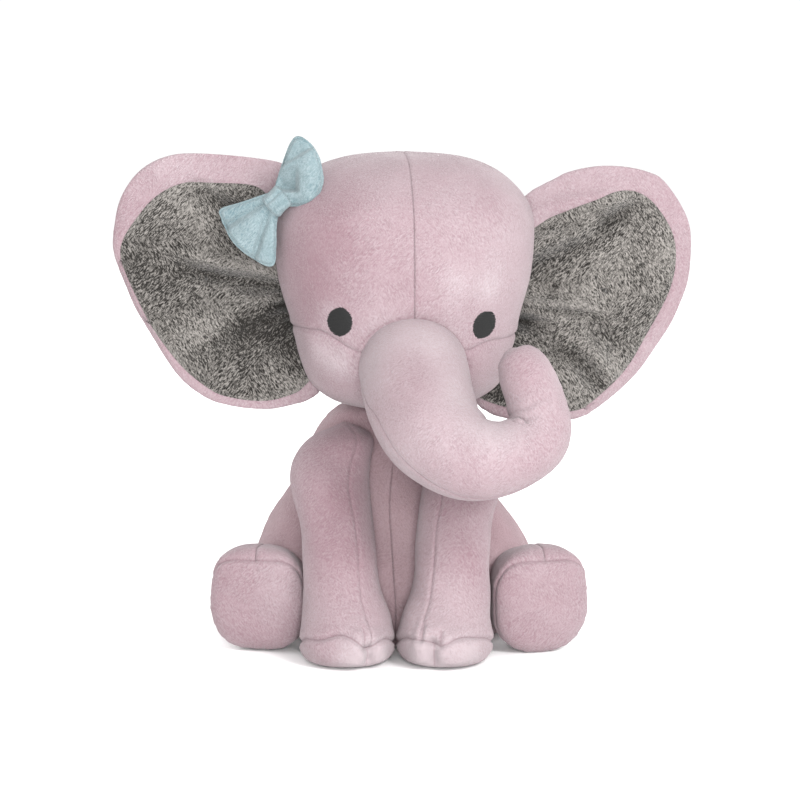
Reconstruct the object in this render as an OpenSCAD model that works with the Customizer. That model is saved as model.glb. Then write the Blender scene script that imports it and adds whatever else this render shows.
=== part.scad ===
// Seated stuffed elephant, built panel by panel as it is sewn and filled.
// Millimetres, +Z up, face towards -Y, the elephant's own left is +X.
// The origin is the centre of the flat seat it sits on.

/* [Cloth] */
// Thickness of the short-pile cloth
cloth = 2.6; // [2:0.1:3.2]
// Gap between pieces that move against each other
play = 1.4; // [1:0.1:2]

/* [Head] */
// Width of the head across the ears' roots
head_w = 130; // [120:1:136]
// Depth of the head from face to nape
head_d = 115; // [106:1:120]
// Turn of the head towards its own left
head_turn = 5; // [0:1:8]
// Length of each embroidered eye
eye_l = 13.5; // [10:0.5:16]
// Distance between the eyes, as turn about the head's middle
eye_spread = 34.5; // [30:0.5:38]

/* [Trunk] */
// Radius of the trunk where it leaves the face
trunk_root_r = 26.5; // [24:0.5:28]
// Radius of the trunk at its tip
trunk_tip_r = 12; // [10:0.5:13]

/* [Ears] */
// Reach of each ear out from the head
ear_reach = 80; // [70:1:86]
// Half thickness of a padded ear
ear_pad = 5.5; // [4.5:0.5:6.5]
// How far the ear's rim curls forward
ear_cup = 12; // [6:1:16]

/* [Body] */
// Width of the body at its widest
body_w = 146; // [138:1:150]
// Depth of the body at its widest
body_d = 116; // [110:1:120]
// Radius of the flat seat panel
seat_r = 50; // [46:1:52]

/* [Legs] */
// Width of a front foot
front_foot_w = 46; // [42:1:46]
// Height of a hind sole
hind_sole_h = 51.6; // [48:0.2:52]
// Outward turn of a hind leg
hind_splay = 10; // [4:1:14]

/* [Bow] */
// Length of the bow from end to end
bow_l = 69; // [60:1:72]

/* [Hidden] */
LEFT = 1;
RIGHT = -1;
filling_gap = 1.2;
floor_gap = 0.6;
around = 20;
pink = [0.87, 0.71, 0.76];
deep_pink = [0.80, 0.62, 0.68];
grey = [0.56, 0.54, 0.52];
aqua = [0.74, 0.87, 0.88];
black = [0.12, 0.11, 0.12];
white = [0.95, 0.95, 0.93];
cream = [0.90, 0.88, 0.80];

// A station of a stuffed form is [x, y, z, half width, half depth].
head_x = 4;
head_y = -24;
half_head_w = head_w / 2;
half_head_d = head_d / 2;
HEAD = [
    [0, 0, 117.2, 5, 5],
    [0, -1, 119.5, half_head_w * 0.46, half_head_d * 0.46],
    [0, -2, 129, half_head_w * 0.71, half_head_d * 0.74],
    [0, -2, 143, half_head_w * 0.80, half_head_d * 0.88],
    [0, -1, 161, half_head_w * 0.88, half_head_d * 0.95],
    [0, 0, 183, half_head_w * 0.97, half_head_d],
    [0, 1, 204, half_head_w, half_head_d * 0.99],
    [0, 2, 220, half_head_w * 0.95, half_head_d * 0.91],
    [0, 3, 234, half_head_w * 0.74, half_head_d * 0.70],
    [0, 3, 241.5, half_head_w * 0.45, half_head_d * 0.42],
    [0, 3, 244, 5, 5]
];
cheek_seam = 0.37;
EYE_HEIGHT = [0.4195, 0.4095];

half_body_w = body_w / 2;
half_body_d = body_d / 2;
BODY = [
    [0, 0, floor_gap, seat_r + 4, seat_r + 2.5],
    [0, 0, 9, half_body_w * 0.90, half_body_d * 0.96],
    [0, 1, 22, half_body_w * 0.98, half_body_d],
    [-1, 2, 38, half_body_w * 0.98, half_body_d * 0.98],
    [-2, 4, 54, half_body_w * 0.90, half_body_d * 0.90],
    [-3, 5, 70, half_body_w * 0.75, half_body_d * 0.80],
    [-2, 4, 86, half_body_w * 0.63, half_body_d * 0.70],
    [0, -1, 101, half_body_w * 0.56, half_body_d * 0.62],
    [0, -5, 111.5, half_body_w * 0.43, half_body_d * 0.48],
    [0, -7, 115.5, 6, 6]
];

half_foot_w = front_foot_w / 2;
FRONT_LEG = [
    [24, -79, floor_gap, half_foot_w * 0.72, half_foot_w * 0.76],
    [24, -79, 4, half_foot_w * 0.96, half_foot_w],
    [24, -79, 12, half_foot_w, half_foot_w * 1.06],
    [24.5, -77, 22, half_foot_w * 0.93, half_foot_w * 0.94],
    [26.5, -73, 33, half_foot_w * 0.84, half_foot_w * 0.86],
    [27.5, -68.5, 46, half_foot_w * 0.80, half_foot_w * 0.83],
    [29, -60, 64, half_foot_w * 0.80, half_foot_w * 0.82],
    [32.5, -53, 80, half_foot_w * 0.84, half_foot_w * 0.82],
    [35, -47.5, 95, half_foot_w * 0.84, half_foot_w * 0.80],
    [34.5, -46.5, 107.5, half_foot_w * 0.60, half_foot_w * 0.60],
    [34.5, -46.5, 112.6, 4, 4]
];
SHOULDER = [35, -47.5, 95];
front_sole_edge = 0.17;

// A hind leg is drawn upright and then laid forward, so its z is its reach.
half_sole_h = hind_sole_h / 2;
HIND_LEG = [
    [0, 0, -9, 5, 5],
    [0, 0, -6, half_sole_h * 0.46, half_sole_h * 0.50],
    [0, 0, 2, half_sole_h * 0.72, half_sole_h * 0.82],
    [0, 0, 12, half_sole_h * 0.87, half_sole_h * 0.95],
    [0, 0, 25, half_sole_h * 0.93, half_sole_h],
    [0, 0, 31.5, half_sole_h * 0.88, half_sole_h * 0.96],
    [0, 0, 34.5, half_sole_h * 0.60, half_sole_h * 0.70],
    [0, 0, 35, 5, 5]
];
HIP = [[63, -30], [64, -32]];
HIP_SPLAY = [hind_splay, hind_splay + 5];
hind_sole_edge = 0.66;

TRUNK = [
    [8, -56, 158, 5],
    [8, -60, 153, 17],
    [8, -70, 146.5, 25],
    [9, -82, 139, trunk_root_r],
    [12, -98, 128, trunk_root_r * 0.97],
    [19, -114, 116, 23.5],
    [35, -124, 107, 20.5],
    [53, -125, 108, 17],
    [67, -121, 117, 14.5],
    [66, -116, 132, 13.7],
    [61.5, -112, 145, trunk_tip_r * 1.06],
    [58.5, -109.5, 153, trunk_tip_r * 0.8],
    [57, -108.5, 157, 3]
];
TRUNK_ROOT = [8, -76, 143];
underside_from = 0.08;
underside_to = 0.42;

// Ear outline as [out from the root, up from its middle], seen from the front.
reach = ear_reach / 80;
EAR = [
    [-12, -50], [4, -64], [24 * reach, -66], [47 * reach, -53], [65 * reach, -29],
    [77 * reach, 0], [80 * reach, 25], [69 * reach, 49], [46 * reach, 60], [20, 57],
    [1, 47], [3.6, 28], [3, 5], [-2, -20], [-7, -38]
];
EAR_MIDDLE = [34, -2];
ear_seam = 0.76;
EAR_ROOT_X = [half_head_w - 1.4, half_head_w + 1];
ear_root_y = 6;
ear_back_sweep = 6;
EAR_HEIGHT = [184, 176];

TAIL = [
    [0, 0, -2, 2], [0, 0, 0, 5.5], [0, 0, 9, 5.5], [0, 0, 18, 4.5], [0, 0, 27, 4], [0, 0, 29, 2]
];
TAIL_ROOT = [0, 63.5, 34];

BOW = [-58.5, -50.5, 222];
half_bow = bow_l / 2;
BOW_LOBE = [
    [0, 0, 4.5, 5, 3.5],
    [0, 0, 10, 8, 5],
    [0, 0, half_bow * 0.60, 12, 7.5],
    [0, 0, half_bow * 0.85, 14.5, 8],
    [0, 0, half_bow * 0.97, 13, 6],
    [0, 0, half_bow, 8, 2.5]
];
BOW_KNOT = [
    [0, 0, -5.5, 4.6, 3.6], [0, 0, -4.5, 5.6, 5], [0, 0, 0, 6, 5.6], [0, 0, 4.5, 5.6, 5],
    [0, 0, 5.5, 4.6, 3.6]
];

// ---- Curves and stuffed forms ----

// Smooth curve through a list of stations, at t from 0 to 1
function along(stations, t) =
    let (
        last = len(stations) - 1,
        s = min(max(t, 0), 1) * last,
        i = min(floor(s), last - 1),
        f = s - i,
        a = stations[max(i - 1, 0)],
        b = stations[i],
        c = stations[i + 1],
        d = stations[min(i + 2, last)]
    )
    0.5 * (2 * b + (c - a) * f + (2 * a - 5 * b + 4 * c - d) * f * f
        + (3 * b - a - 3 * c + d) * f * f * f);

// Smooth closed curve through an outline's points, at t in turns
function round_outline(outline, t) =
    let (
        n = len(outline),
        s = (t - floor(t)) * n,
        i = floor(s),
        f = s - i,
        a = outline[(i + n - 1) % n],
        b = outline[i % n],
        c = outline[(i + 1) % n],
        d = outline[(i + 2) % n]
    )
    0.5 * (2 * b + (c - a) * f + (2 * a - 5 * b + 4 * c - d) * f * f
        + (3 * b - a - 3 * c + d) * f * f * f);

// Cosine and sine made squarer when power is under 1
function soft(value, power) = sign(value) * pow(abs(value), power);

// Point on an upright form: turn in turns from +X, up from 0 to 1, inset inwards
function upright(stations, turn, up, inset, power = 1) =
    let (
        s = along(stations, up),
        low = stations[0].z,
        high = stations[len(stations) - 1].z,
        middle = (low + high) / 2,
        shrink = 1 - 2 * inset / (high - low),
        w = max(s[3] - inset, s[3] / 4),
        d = max(s[4] - inset, s[4] / 4)
    )
    [
        s.x + w * soft(cos(360 * turn), power),
        s.y + d * soft(sin(360 * turn), power),
        middle + (s.z - middle) * shrink
    ];

function unit(v) = v / norm(v);

// Point on a swept tube whose stations are [x, y, z, radius]; turn 0 is its side
function swept(stations, turn, up, inset) =
    let (
        s = along(stations, up),
        ahead = along(stations, min(up + 0.01, 1)),
        behind = along(stations, max(up - 0.01, 0)),
        way = unit([ahead.x - behind.x, ahead.y - behind.y, ahead.z - behind.z]),
        side = unit(cross(way, [0.35, -1, 0.2])),
        top = cross(way, side),
        r = max(s[3] - inset, s[3] / 4)
    )
    [s.x, s.y, s.z] + r * (cos(360 * turn) * side + sin(360 * turn) * top);

function steps(from, to, count) = [for (i = [0 : count]) from + (to - from) * i / count];
function backwards(list) = [for (i = [len(list) - 1 : -1 : 0]) list[i]];
function middle_of(points) = [for (p = points) 1] * points / len(points);

// Closed solid through rings of equal length; strip closes C-shaped end rings
module stack(rings, strip = false) {
    n = len(rings[0]);
    m = len(rings);
    ends = strip ? [] : [middle_of(rings[0]), middle_of(rings[m - 1])];
    sides = [
        for (j = [0 : m - 2])
            for (i = [0 : n - 1])
                let (a = j * n + i, b = j * n + (i + 1) % n)
                    each [[a, a + n, b + n], [a, b + n, b]]
    ];
    top = (m - 1) * n;
    fans = strip ? [] : [
        for (i = [0 : n - 1])
            each [[m * n, i, (i + 1) % n], [m * n + 1, top + (i + 1) % n, top + i]]
    ];
    strips = strip ? [
        for (i = [0 : n / 2 - 2])
            each [
                [i, i + 1, n - 2 - i], [i, n - 2 - i, n - 1 - i],
                [top + i, top + n - 2 - i, top + i + 1],
                [top + i, top + n - 1 - i, top + n - 2 - i]
            ]
    ] : [];
    polyhedron(points = concat([for (ring = rings) each ring], ends),
        faces = concat(sides, fans, strips));
}

// Cloth patch of a form between two turns and two heights
module patch(form, turns, ups, wide = 8, high = 8) {
    stack([
        for (up = steps(ups[0], ups[1], high))
            concat(
                [for (t = steps(turns[0], turns[1], wide)) form(t, up, 0)],
                [for (t = steps(turns[1], turns[0], wide)) form(t, up, cloth)]
            )
    ], strip = true);
}

function ring_of(form, up, inset, count) =
    [for (i = [0 : count - 1]) form(i / count, up, inset)];

// Cloth cup closed at the low end of a form, or at its high end
module cup(form, ups, high = 6, count = around, at_top = false) {
    outer = [for (up = steps(ups[0], ups[1], high)) ring_of(form, up, 0, count)];
    inner = [for (up = steps(ups[1], ups[0], high)) ring_of(form, up, cloth, count)];
    stack(at_top ? concat(inner, outer) : concat(outer, inner));
}

// Filling of a form, just inside its cloth
module core(form, high = 10, count = around, inset = cloth + filling_gap) {
    stack([for (up = steps(0, 1, high)) ring_of(form, up, inset, count)]);
}

// Cuts the second child and later ones from the first, kept as one plain mesh
module trimmed() {
    resize([0, 0, 0]) difference() {
        children(0);
        children([1 : $children - 1]);
    }
}

module on_side(side) {
    if (side > 0) {
        children();
    } else {
        mirror([1, 0, 0]) children();
    }
}

// ---- Places ----

module at_head() translate([head_x, head_y, 0]) rotate([0, 0, head_turn]) children();
module at_hip(side, extra = 0) {
    i = side > 0 ? 1 : 0;
    on_side(side) translate([HIP[i].x, HIP[i].y, floor_gap + half_sole_h])
        rotate([0, 0, HIP_SPLAY[i] + extra]) rotate([90, 0, 0]) children();
}

head_form = function (turn, up, inset) upright(HEAD, turn, up, inset, 0.94);
body_form = function (turn, up, inset) upright(BODY, turn, up, inset, 0.95);
front_form = function (turn, up, inset) upright(FRONT_LEG, turn, up, inset, 0.95);
hind_form = function (turn, up, inset) upright(HIND_LEG, turn, up, inset, 0.76);
trunk_form = function (turn, up, inset) swept(TRUNK, turn, up, inset);
tail_form = function (turn, up, inset) swept(TAIL, turn, up, inset);

// Room the trunk's round root needs inside the face
module trunk_room(more = 0) {
    translate(TRUNK_ROOT) sphere(r = trunk_root_r + play + 1 + more, $fn = 28);
}

// Room each limb needs in the body over its whole travel
module limb_room(side, more = 0) {
    grown = function (turn, up, inset) hind_form(turn, up, -play - more);
    reach = half_foot_w * 0.84 + play + 1.3 + more;
    for (extra = [-4, 5, 14, 22])
        at_hip(side, extra) stack([for (up = steps(0, 1, 8)) ring_of(grown, up, 0, 16)]);
    on_side(side) hull() {
        translate(SHOULDER) sphere(r = reach, $fn = 24);
        translate([28, -67, 50]) sphere(r = reach, $fn = 24);
    }
}

// ---- Head ----

module head_panel(side) {
    turns = side > 0 ? [-0.25, 0.25] : [0.25, 0.75];
    color(pink) trimmed() {
        at_head() patch(head_form, turns, [cheek_seam + 0.003, 1], wide = 9, high = 9);
        trunk_room();
    }
}

module cheek_panel(side) {
    turns = side > 0 ? [-0.25, 0.25] : [0.25, 0.75];
    color(pink) trimmed() {
        at_head() patch(head_form, turns, [0, cheek_seam - 0.003], wide = 9, high = 6);
        trunk_room();
    }
}

module head_filling() {
    color(white) trimmed() {
        at_head() core(head_form, high = 12, count = 18);
        trunk_room(cloth / 2);
    }
}

// Satin-stitched oval lying on the face
module eye(side) {
    middle_turn = -0.25 + side * eye_spread / 360;
    oval = function (i, r) [
        middle_turn + side * 0.002 + r * 0.0175 * cos(i * 15) + side * r * 0.004 * sin(i * 15),
        EYE_HEIGHT[side > 0 ? 1 : 0] + r * 0.031 * eye_l / 13.5 * sin(i * 15)
    ];
    color(black) at_head() stack([
        for (layer = [[1, -0.3], [1, -0.9], [0.6, -1.3]])
            [for (i = [0 : 23])
                let (p = oval(i, layer[0])) head_form(p.x, p.y, layer[1])]
    ]);
}

// ---- Bow ----

BOW_TURN = -15;
BOW_TILT = 42;
BOW_ROLL = 8;
lobe_start = 2;
module bow_frame() {
    translate(BOW) rotate([0, 0, BOW_TURN]) rotate([0, BOW_TILT, 0]) rotate([0, 0, BOW_ROLL])
        children();
}
bow_form = function (turn, up, inset) upright(BOW_LOBE, turn, up, inset, 0.8);
knot_form = function (turn, up, inset) upright(BOW_KNOT, turn, up, inset, 0.85);

module bow_loop() translate([0, 0, lobe_start]) core(bow_form, 8, 18, 0);
module bow_loop_upper() color(aqua) bow_frame() bow_loop();
module bow_loop_lower() color(aqua) bow_frame() rotate([0, 180, 0]) bow_loop();
module bow_knot() color(aqua) bow_frame() core(knot_form, 6, 16, 0);

// ---- Trunk ----

module trunk_panel(from, to, wide) {
    seam = 0.004;
    patch(trunk_form, [from + seam, to - seam], [0.02, 1], wide = wide, high = 22);
}
module trunk_top_panel() color(pink) trunk_panel(underside_to, underside_from + 1, 9);
module trunk_underside_panel() color(pink) trunk_panel(underside_from, underside_to, 5);
module trunk_filling() color(white) core(trunk_form, high = 22, count = 12);

// ---- Ears ----

// The outline shrinks to its middle over a lens from back (0) to front (1)
function ear_point(turn, through, inset) =
    let (
        lean = 180 * through - 90,
        size = pow(max(cos(lean), 0.02), 0.5),
        p = round_outline(EAR, turn) - EAR_MIDDLE,
        flat = EAR_MIDDLE + p * size * (1 - inset / norm(p)),
        cupped = ear_cup * pow(norm(p * size) / 62, 2)
    )
    [flat.x, flat.y, cupped + (ear_pad - inset / 1.6) * sin(lean)];

ear_form = function (turn, through, inset) ear_point(turn, through, inset);

module at_ear(side) {
    i = side > 0 ? 1 : 0;
    at_head() on_side(side) translate([EAR_ROOT_X[i], ear_root_y, EAR_HEIGHT[i]])
        rotate([0, 0, ear_back_sweep]) rotate([90, 0, 0]) children();
}

module ear_back(side) color(pink) at_ear(side) cup(ear_form, [0, ear_seam - 0.004], 6, 30);
module ear_lining(side) {
    color(grey) at_ear(side) cup(ear_form, [ear_seam + 0.004, 1], 3, 30, at_top = true);
}
module ear_batting(side) {
    color(white) at_ear(side) core(ear_form, 8, 30, cloth + 2);
}

// ---- Body ----

module body_patch(turns) patch(body_form, turns, [0, 1], wide = 10, high = 9);

module chest_panel(side) {
    turns = side > 0 ? [-0.249, -0.001] : [-0.499, -0.251];
    color(deep_pink) trimmed() {
        body_patch(turns);
        limb_room(side);
    }
}

module back_panel(side) {
    turns = side > 0 ? [0.001, 0.249] : [0.251, 0.499];
    color(deep_pink) trimmed() {
        body_patch(turns);
        limb_room(side);
    }
}

module seat_panel() color(deep_pink) cylinder(r = seat_r, h = cloth, $fn = 90);

BAG = [
    [0, 4, 4, 20, 18], [0, 4, 6, 35, 32], [0, 4, 14, 40, 36], [0, 4, 23, 33, 30], [0, 4, 25, 6, 6]
];
bag_cloth = 0.6;
bag_form = function (turn, up, inset) upright(BAG, turn, up, inset);

module body_filling() {
    room = function (turn, up, inset) upright(BAG, turn, up, -0.5);
    color(white) trimmed() {
        core(body_form, high = 11);
        limb_room(LEFT, 0.6);
        limb_room(RIGHT, 0.6);
        stack([for (up = steps(0, 1, 6)) ring_of(room, up, 0, 16)]);
    }
}

// The bag's top stays open by the width of its gathered mouth
module pellet_bag() {
    outer = [for (up = steps(0, 1, 6)) ring_of(bag_form, up, 0, 16)];
    inner = [for (up = steps(1, 0, 6)) ring_of(bag_form, up, bag_cloth, 16)];
    color(cream) stack(concat(outer, inner));
}
module pellet_fill() color(cream) core(bag_form, 6, 16, bag_cloth + 0.2);

// Blank folded label caught in the side seam at the back
label_w = 10;
label_h = 18;
label_t = 0.6;
LABEL_MIDDLE = [-77.5, 12, 24];
module care_label() {
    color(white) translate(LABEL_MIDDLE) cube([label_w, label_t, label_h], center = true);
}

// ---- Front legs ----

module front_leg_outer(side) {
    color(pink) on_side(side)
        patch(front_form, [-0.328, 0.248], [front_sole_edge + 0.004, 1], wide = 11, high = 9);
}
module front_leg_inner(side) {
    color(pink) on_side(side)
        patch(front_form, [0.252, 0.668], [front_sole_edge + 0.004, 1], wide = 8, high = 9);
}
module front_sole(side) {
    color(pink) on_side(side) cup(front_form, [0, front_sole_edge - 0.004], 3, 18);
}
module front_filling(side) color(white) on_side(side) core(front_form, 10, 14);

// ---- Hind legs ----

module hind_panel(side, turns) {
    color(pink) at_hip(side)
        patch(hind_form, turns, [0.02, hind_sole_edge - 0.004], wide = 9, high = 7);
}
module hind_leg_outer(side) hind_panel(side, [-0.248, 0.248]);
module hind_leg_inner(side) hind_panel(side, [0.252, 0.748]);
module hind_sole(side) {
    color(pink) at_hip(side)
        cup(hind_form, [hind_sole_edge + 0.004, 1], 4, 18, at_top = true);
}
module hind_filling(side) color(white) at_hip(side) core(hind_form, 8, 16);

// ---- Tail ----

tail_droop = 118;
tuft_start = 29.8;
tuft_l = 9;
tuft_narrow = 3.4;
tuft_wide = 6;
module at_tail() translate(TAIL_ROOT) rotate([-tail_droop, 0, 0]) children();
module tail_cover() color(pink) at_tail() core(tail_form, 7, 12, 0);
module tail_tuft() {
    color(deep_pink) at_tail() translate([0, 0, tuft_start])
        cylinder(r1 = tuft_narrow, r2 = tuft_wide, h = tuft_l, $fn = 12);
}

head_panel(LEFT);  // head_panel_left
head_panel(RIGHT);  // head_panel_right
cheek_panel(LEFT);  // cheek_panel_left
cheek_panel(RIGHT);  // cheek_panel_right
head_filling();
eye(LEFT);  // eye_left
eye(RIGHT);  // eye_right
bow_loop_upper();
bow_loop_lower();
bow_knot();
trunk_top_panel();
trunk_underside_panel();
trunk_filling();
ear_back(LEFT);  // ear_back_left
ear_lining(LEFT);  // ear_lining_left
ear_batting(LEFT);  // ear_batting_left
ear_back(RIGHT);  // ear_back_right
ear_lining(RIGHT);  // ear_lining_right
ear_batting(RIGHT);  // ear_batting_right
chest_panel(LEFT);  // chest_panel_left
chest_panel(RIGHT);  // chest_panel_right
back_panel(LEFT);  // back_panel_left
back_panel(RIGHT);  // back_panel_right
seat_panel();
body_filling();
pellet_bag();
pellet_fill();
care_label();
front_leg_outer(LEFT);  // front_leg_outer_left
front_leg_inner(LEFT);  // front_leg_inner_left
front_sole(LEFT);  // front_sole_left
front_filling(LEFT);  // front_filling_left
front_leg_outer(RIGHT);  // front_leg_outer_right
front_leg_inner(RIGHT);  // front_leg_inner_right
front_sole(RIGHT);  // front_sole_right
front_filling(RIGHT);  // front_filling_right
hind_leg_outer(LEFT);  // hind_leg_outer_left
hind_leg_inner(LEFT);  // hind_leg_inner_left
hind_sole(LEFT);  // hind_sole_left
hind_filling(LEFT);  // hind_filling_left
hind_leg_outer(RIGHT);  // hind_leg_outer_right
hind_leg_inner(RIGHT);  // hind_leg_inner_right
hind_sole(RIGHT);  // hind_sole_right
hind_filling(RIGHT);  // hind_filling_right
tail_cover();
tail_tuft();
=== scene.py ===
# %% [markdown]
# # A stuffed elephant, sewn in Blender
#
# The toy is a set of cloth panels over soft filling. This lesson makes each panel as a fine mesh
# from a few listed rows, swells it with a cloth simulation, sinks its seams, and gives it a
# short-pile finish. The imported model gives every place and size: each form is drawn inside the
# box of the piece that it stands for.

# %% Load the frame
import math

import bpy
import numpy as np
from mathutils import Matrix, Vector


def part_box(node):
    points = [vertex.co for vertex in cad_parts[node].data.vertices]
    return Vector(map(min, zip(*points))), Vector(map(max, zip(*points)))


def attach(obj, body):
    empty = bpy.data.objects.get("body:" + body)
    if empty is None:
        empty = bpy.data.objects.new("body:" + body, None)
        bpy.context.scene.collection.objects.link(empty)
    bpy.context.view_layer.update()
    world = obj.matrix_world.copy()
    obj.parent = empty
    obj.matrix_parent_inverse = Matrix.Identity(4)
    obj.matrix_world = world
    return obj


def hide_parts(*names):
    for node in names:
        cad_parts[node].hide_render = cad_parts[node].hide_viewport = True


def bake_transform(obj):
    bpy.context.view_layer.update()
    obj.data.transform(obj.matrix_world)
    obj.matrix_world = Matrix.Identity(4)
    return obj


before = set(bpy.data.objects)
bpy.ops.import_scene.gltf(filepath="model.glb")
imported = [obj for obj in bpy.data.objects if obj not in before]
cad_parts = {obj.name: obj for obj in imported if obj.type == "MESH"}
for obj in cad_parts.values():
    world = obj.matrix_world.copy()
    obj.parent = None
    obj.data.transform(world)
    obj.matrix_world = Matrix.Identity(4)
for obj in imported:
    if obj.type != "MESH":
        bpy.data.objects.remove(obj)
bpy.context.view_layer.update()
MM = 0.001

# %% [markdown]
# ## Camera, floor and light
#
# The toy is pictured from just above its eye line with a long lens, so that the ears
# keep their true size beside the head. A pale floor and three wide, soft lights give
# the even light of a product table; a single hard lamp would cut dark shadows into the
# pile and hide its sheen.

# %% Camera
TARGET = Vector((0.002, -0.050, 0.124))
CAMERA_HEIGHT = math.radians(8)
CAMERA_DISTANCE = 1.4
VIEW_WIDTH = 0.392
SENSOR = 36


def added(name, data):
    """A new object in the scene, for a mesh, a light or a camera."""
    made = bpy.data.objects.new(name, data)
    bpy.context.scene.collection.objects.link(made)
    return made


camera_data = bpy.data.cameras.new("camera")
camera_data.sensor_width = SENSOR
camera_data.lens = SENSOR * CAMERA_DISTANCE / VIEW_WIDTH
camera = added("camera", camera_data)
back = Vector((0, -math.cos(CAMERA_HEIGHT), math.sin(CAMERA_HEIGHT)))
camera.location = TARGET + back * CAMERA_DISTANCE
camera.rotation_euler = back.to_track_quat("Z", "Y").to_euler()
bpy.context.scene.camera = camera
print("lens", round(camera_data.lens, 1))


# %% Lights and world
LIT_POINT = Vector((0, -0.03, 0.12))


def soft_light(name, place, size, power):
    data = bpy.data.lights.new(name, "AREA")
    data.shape = "DISK"
    data.size = size
    data.energy = power
    light = added(name, data)
    light.location = place
    light.rotation_euler = (Vector(place) - LIT_POINT).to_track_quat("Z", "Y").to_euler()


soft_light("key_light", (0.75, -1.15, 0.90), 0.6, 19)
soft_light("front_light", (0.05, -1.60, 0.36), 0.6, 24)
soft_light("back_light_left", (1.1, 1.3, 0.8), 0.9, 17)
soft_light("back_light_right", (-1.1, 1.3, 0.8), 0.9, 17)

world = bpy.data.worlds.new("studio")
world.use_nodes = True
sky = world.node_tree.nodes["Background"].inputs
sky["Color"].default_value = (1, 1, 1, 1)
sky["Strength"].default_value = 1.06
bpy.context.scene.world = world
bpy.context.scene.view_settings.view_transform = "Standard"

floor_mesh = bpy.data.meshes.new("floor")
FLOOR = 4.0
floor_mesh.from_pydata([(-FLOOR, -FLOOR, 0), (FLOOR, -FLOOR, 0), (FLOOR, FLOOR, 0),
                        (-FLOOR, FLOOR, 0)], [], [(0, 1, 2, 3)])
added("floor", floor_mesh)


# %% [markdown]
# ## Shader sums as plain sums
#
# A finish is easier to read as a formula than as a drawing of boxes. The small class
# below wraps one socket, so that `0.5 + speckle * 0.3` adds the Math nodes itself.
# `Finish.node` makes every other kind of node.

# %% Wires and finishes
class Wire:
    """One output socket; sums on it add Math nodes to its tree."""

    def __init__(self, finish, socket):
        self.finish = finish
        self.socket = socket

    def math(self, operation, *others):
        return self.finish.node("ShaderNodeMath", {"operation": operation}, self, *others)

    def __add__(self, other):
        return self.math("ADD", other)

    def __mul__(self, other):
        return self.math("MULTIPLY", other)

    def __sub__(self, other):
        return self.math("SUBTRACT", other)

    def __rsub__(self, other):
        return self.finish.node("ShaderNodeMath", {"operation": "SUBTRACT"}, other, self)

    __radd__ = __add__
    __rmul__ = __mul__

    def clipped(self):
        return self.math("MAXIMUM", 0.0).math("MINIMUM", 1.0)


class Finish:
    """A material being built, with one Principled shader at its end."""

    def __init__(self, name, **constants):
        self.material = bpy.data.materials.new(name)
        self.material.use_nodes = True
        self.tree = self.material.node_tree
        self.shader = self.tree.nodes["Principled BSDF"]
        for key, value in constants.items():
            self.shader.inputs[key.replace("_", " ")].default_value = value

    def plug(self, socket, value):
        if isinstance(value, Wire):
            self.tree.links.new(value.socket, socket)
        else:
            socket.default_value = value

    def node(self, kind, settings=None, *values, out=0, **named):
        made = self.tree.nodes.new(kind)
        for key, value in (settings or {}).items():
            setattr(made, key, value)
        for socket, value in zip(made.inputs, values):
            self.plug(socket, value)
        for key, value in named.items():
            self.plug(made.inputs[key.replace("_", " ")], value)
        return Wire(self, made.outputs[out])

    def stretched(self, scale, turned=0.0):
        """Places on the piece, turned about the front axis and then stretched."""
        place = self.node("ShaderNodeTexCoord", out=3)
        return self.node("ShaderNodeMapping", {"vector_type": "TEXTURE"}, place,
                         Rotation=(0.0, turned, 0.0), Scale=tuple(1 / s for s in scale))

    def noise(self, scale, detail=2.0, roughness=0.5, swirl=0.0, turned=0.0):
        return self.node("ShaderNodeTexNoise", {}, self.stretched(scale, turned), Scale=1.0,
                         Detail=detail, Roughness=roughness, Distortion=swirl)

    def mix(self, amount, first, second):
        made = self.tree.nodes.new("ShaderNodeMix")
        made.data_type = "RGBA"
        self.plug(made.inputs[0], amount)
        self.plug(made.inputs[6], first)
        self.plug(made.inputs[7], second)
        return Wire(self, made.outputs[2])

    def attribute(self, name):
        return self.node("ShaderNodeAttribute", {"attribute_name": name}, out=2)

    def finish(self, **links):
        for key, value in links.items():
            self.plug(self.shader.inputs[key.replace("_", " ")], value)
        return self.material


# %% [markdown]
# ## Plush
#
# Short pile is a field of fibres that lean together. Close up it shows three things: a
# speckle where tufts part, streaks along the lay of the nap, and broad patches that a
# hand has brushed lighter or darker. The streaks lean one way in some regions and the
# other way in the rest, so two leaning noises are mixed by a broad third one. At its
# edge the pile catches the light, which the sheen lobe gives. A hair system would show
# the same at a hundred times the weight.

# %% The plush finish
LEANS = (-0.55, 0.75)
REGION_SCALE = (36.0, 36.0, 36.0)


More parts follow.
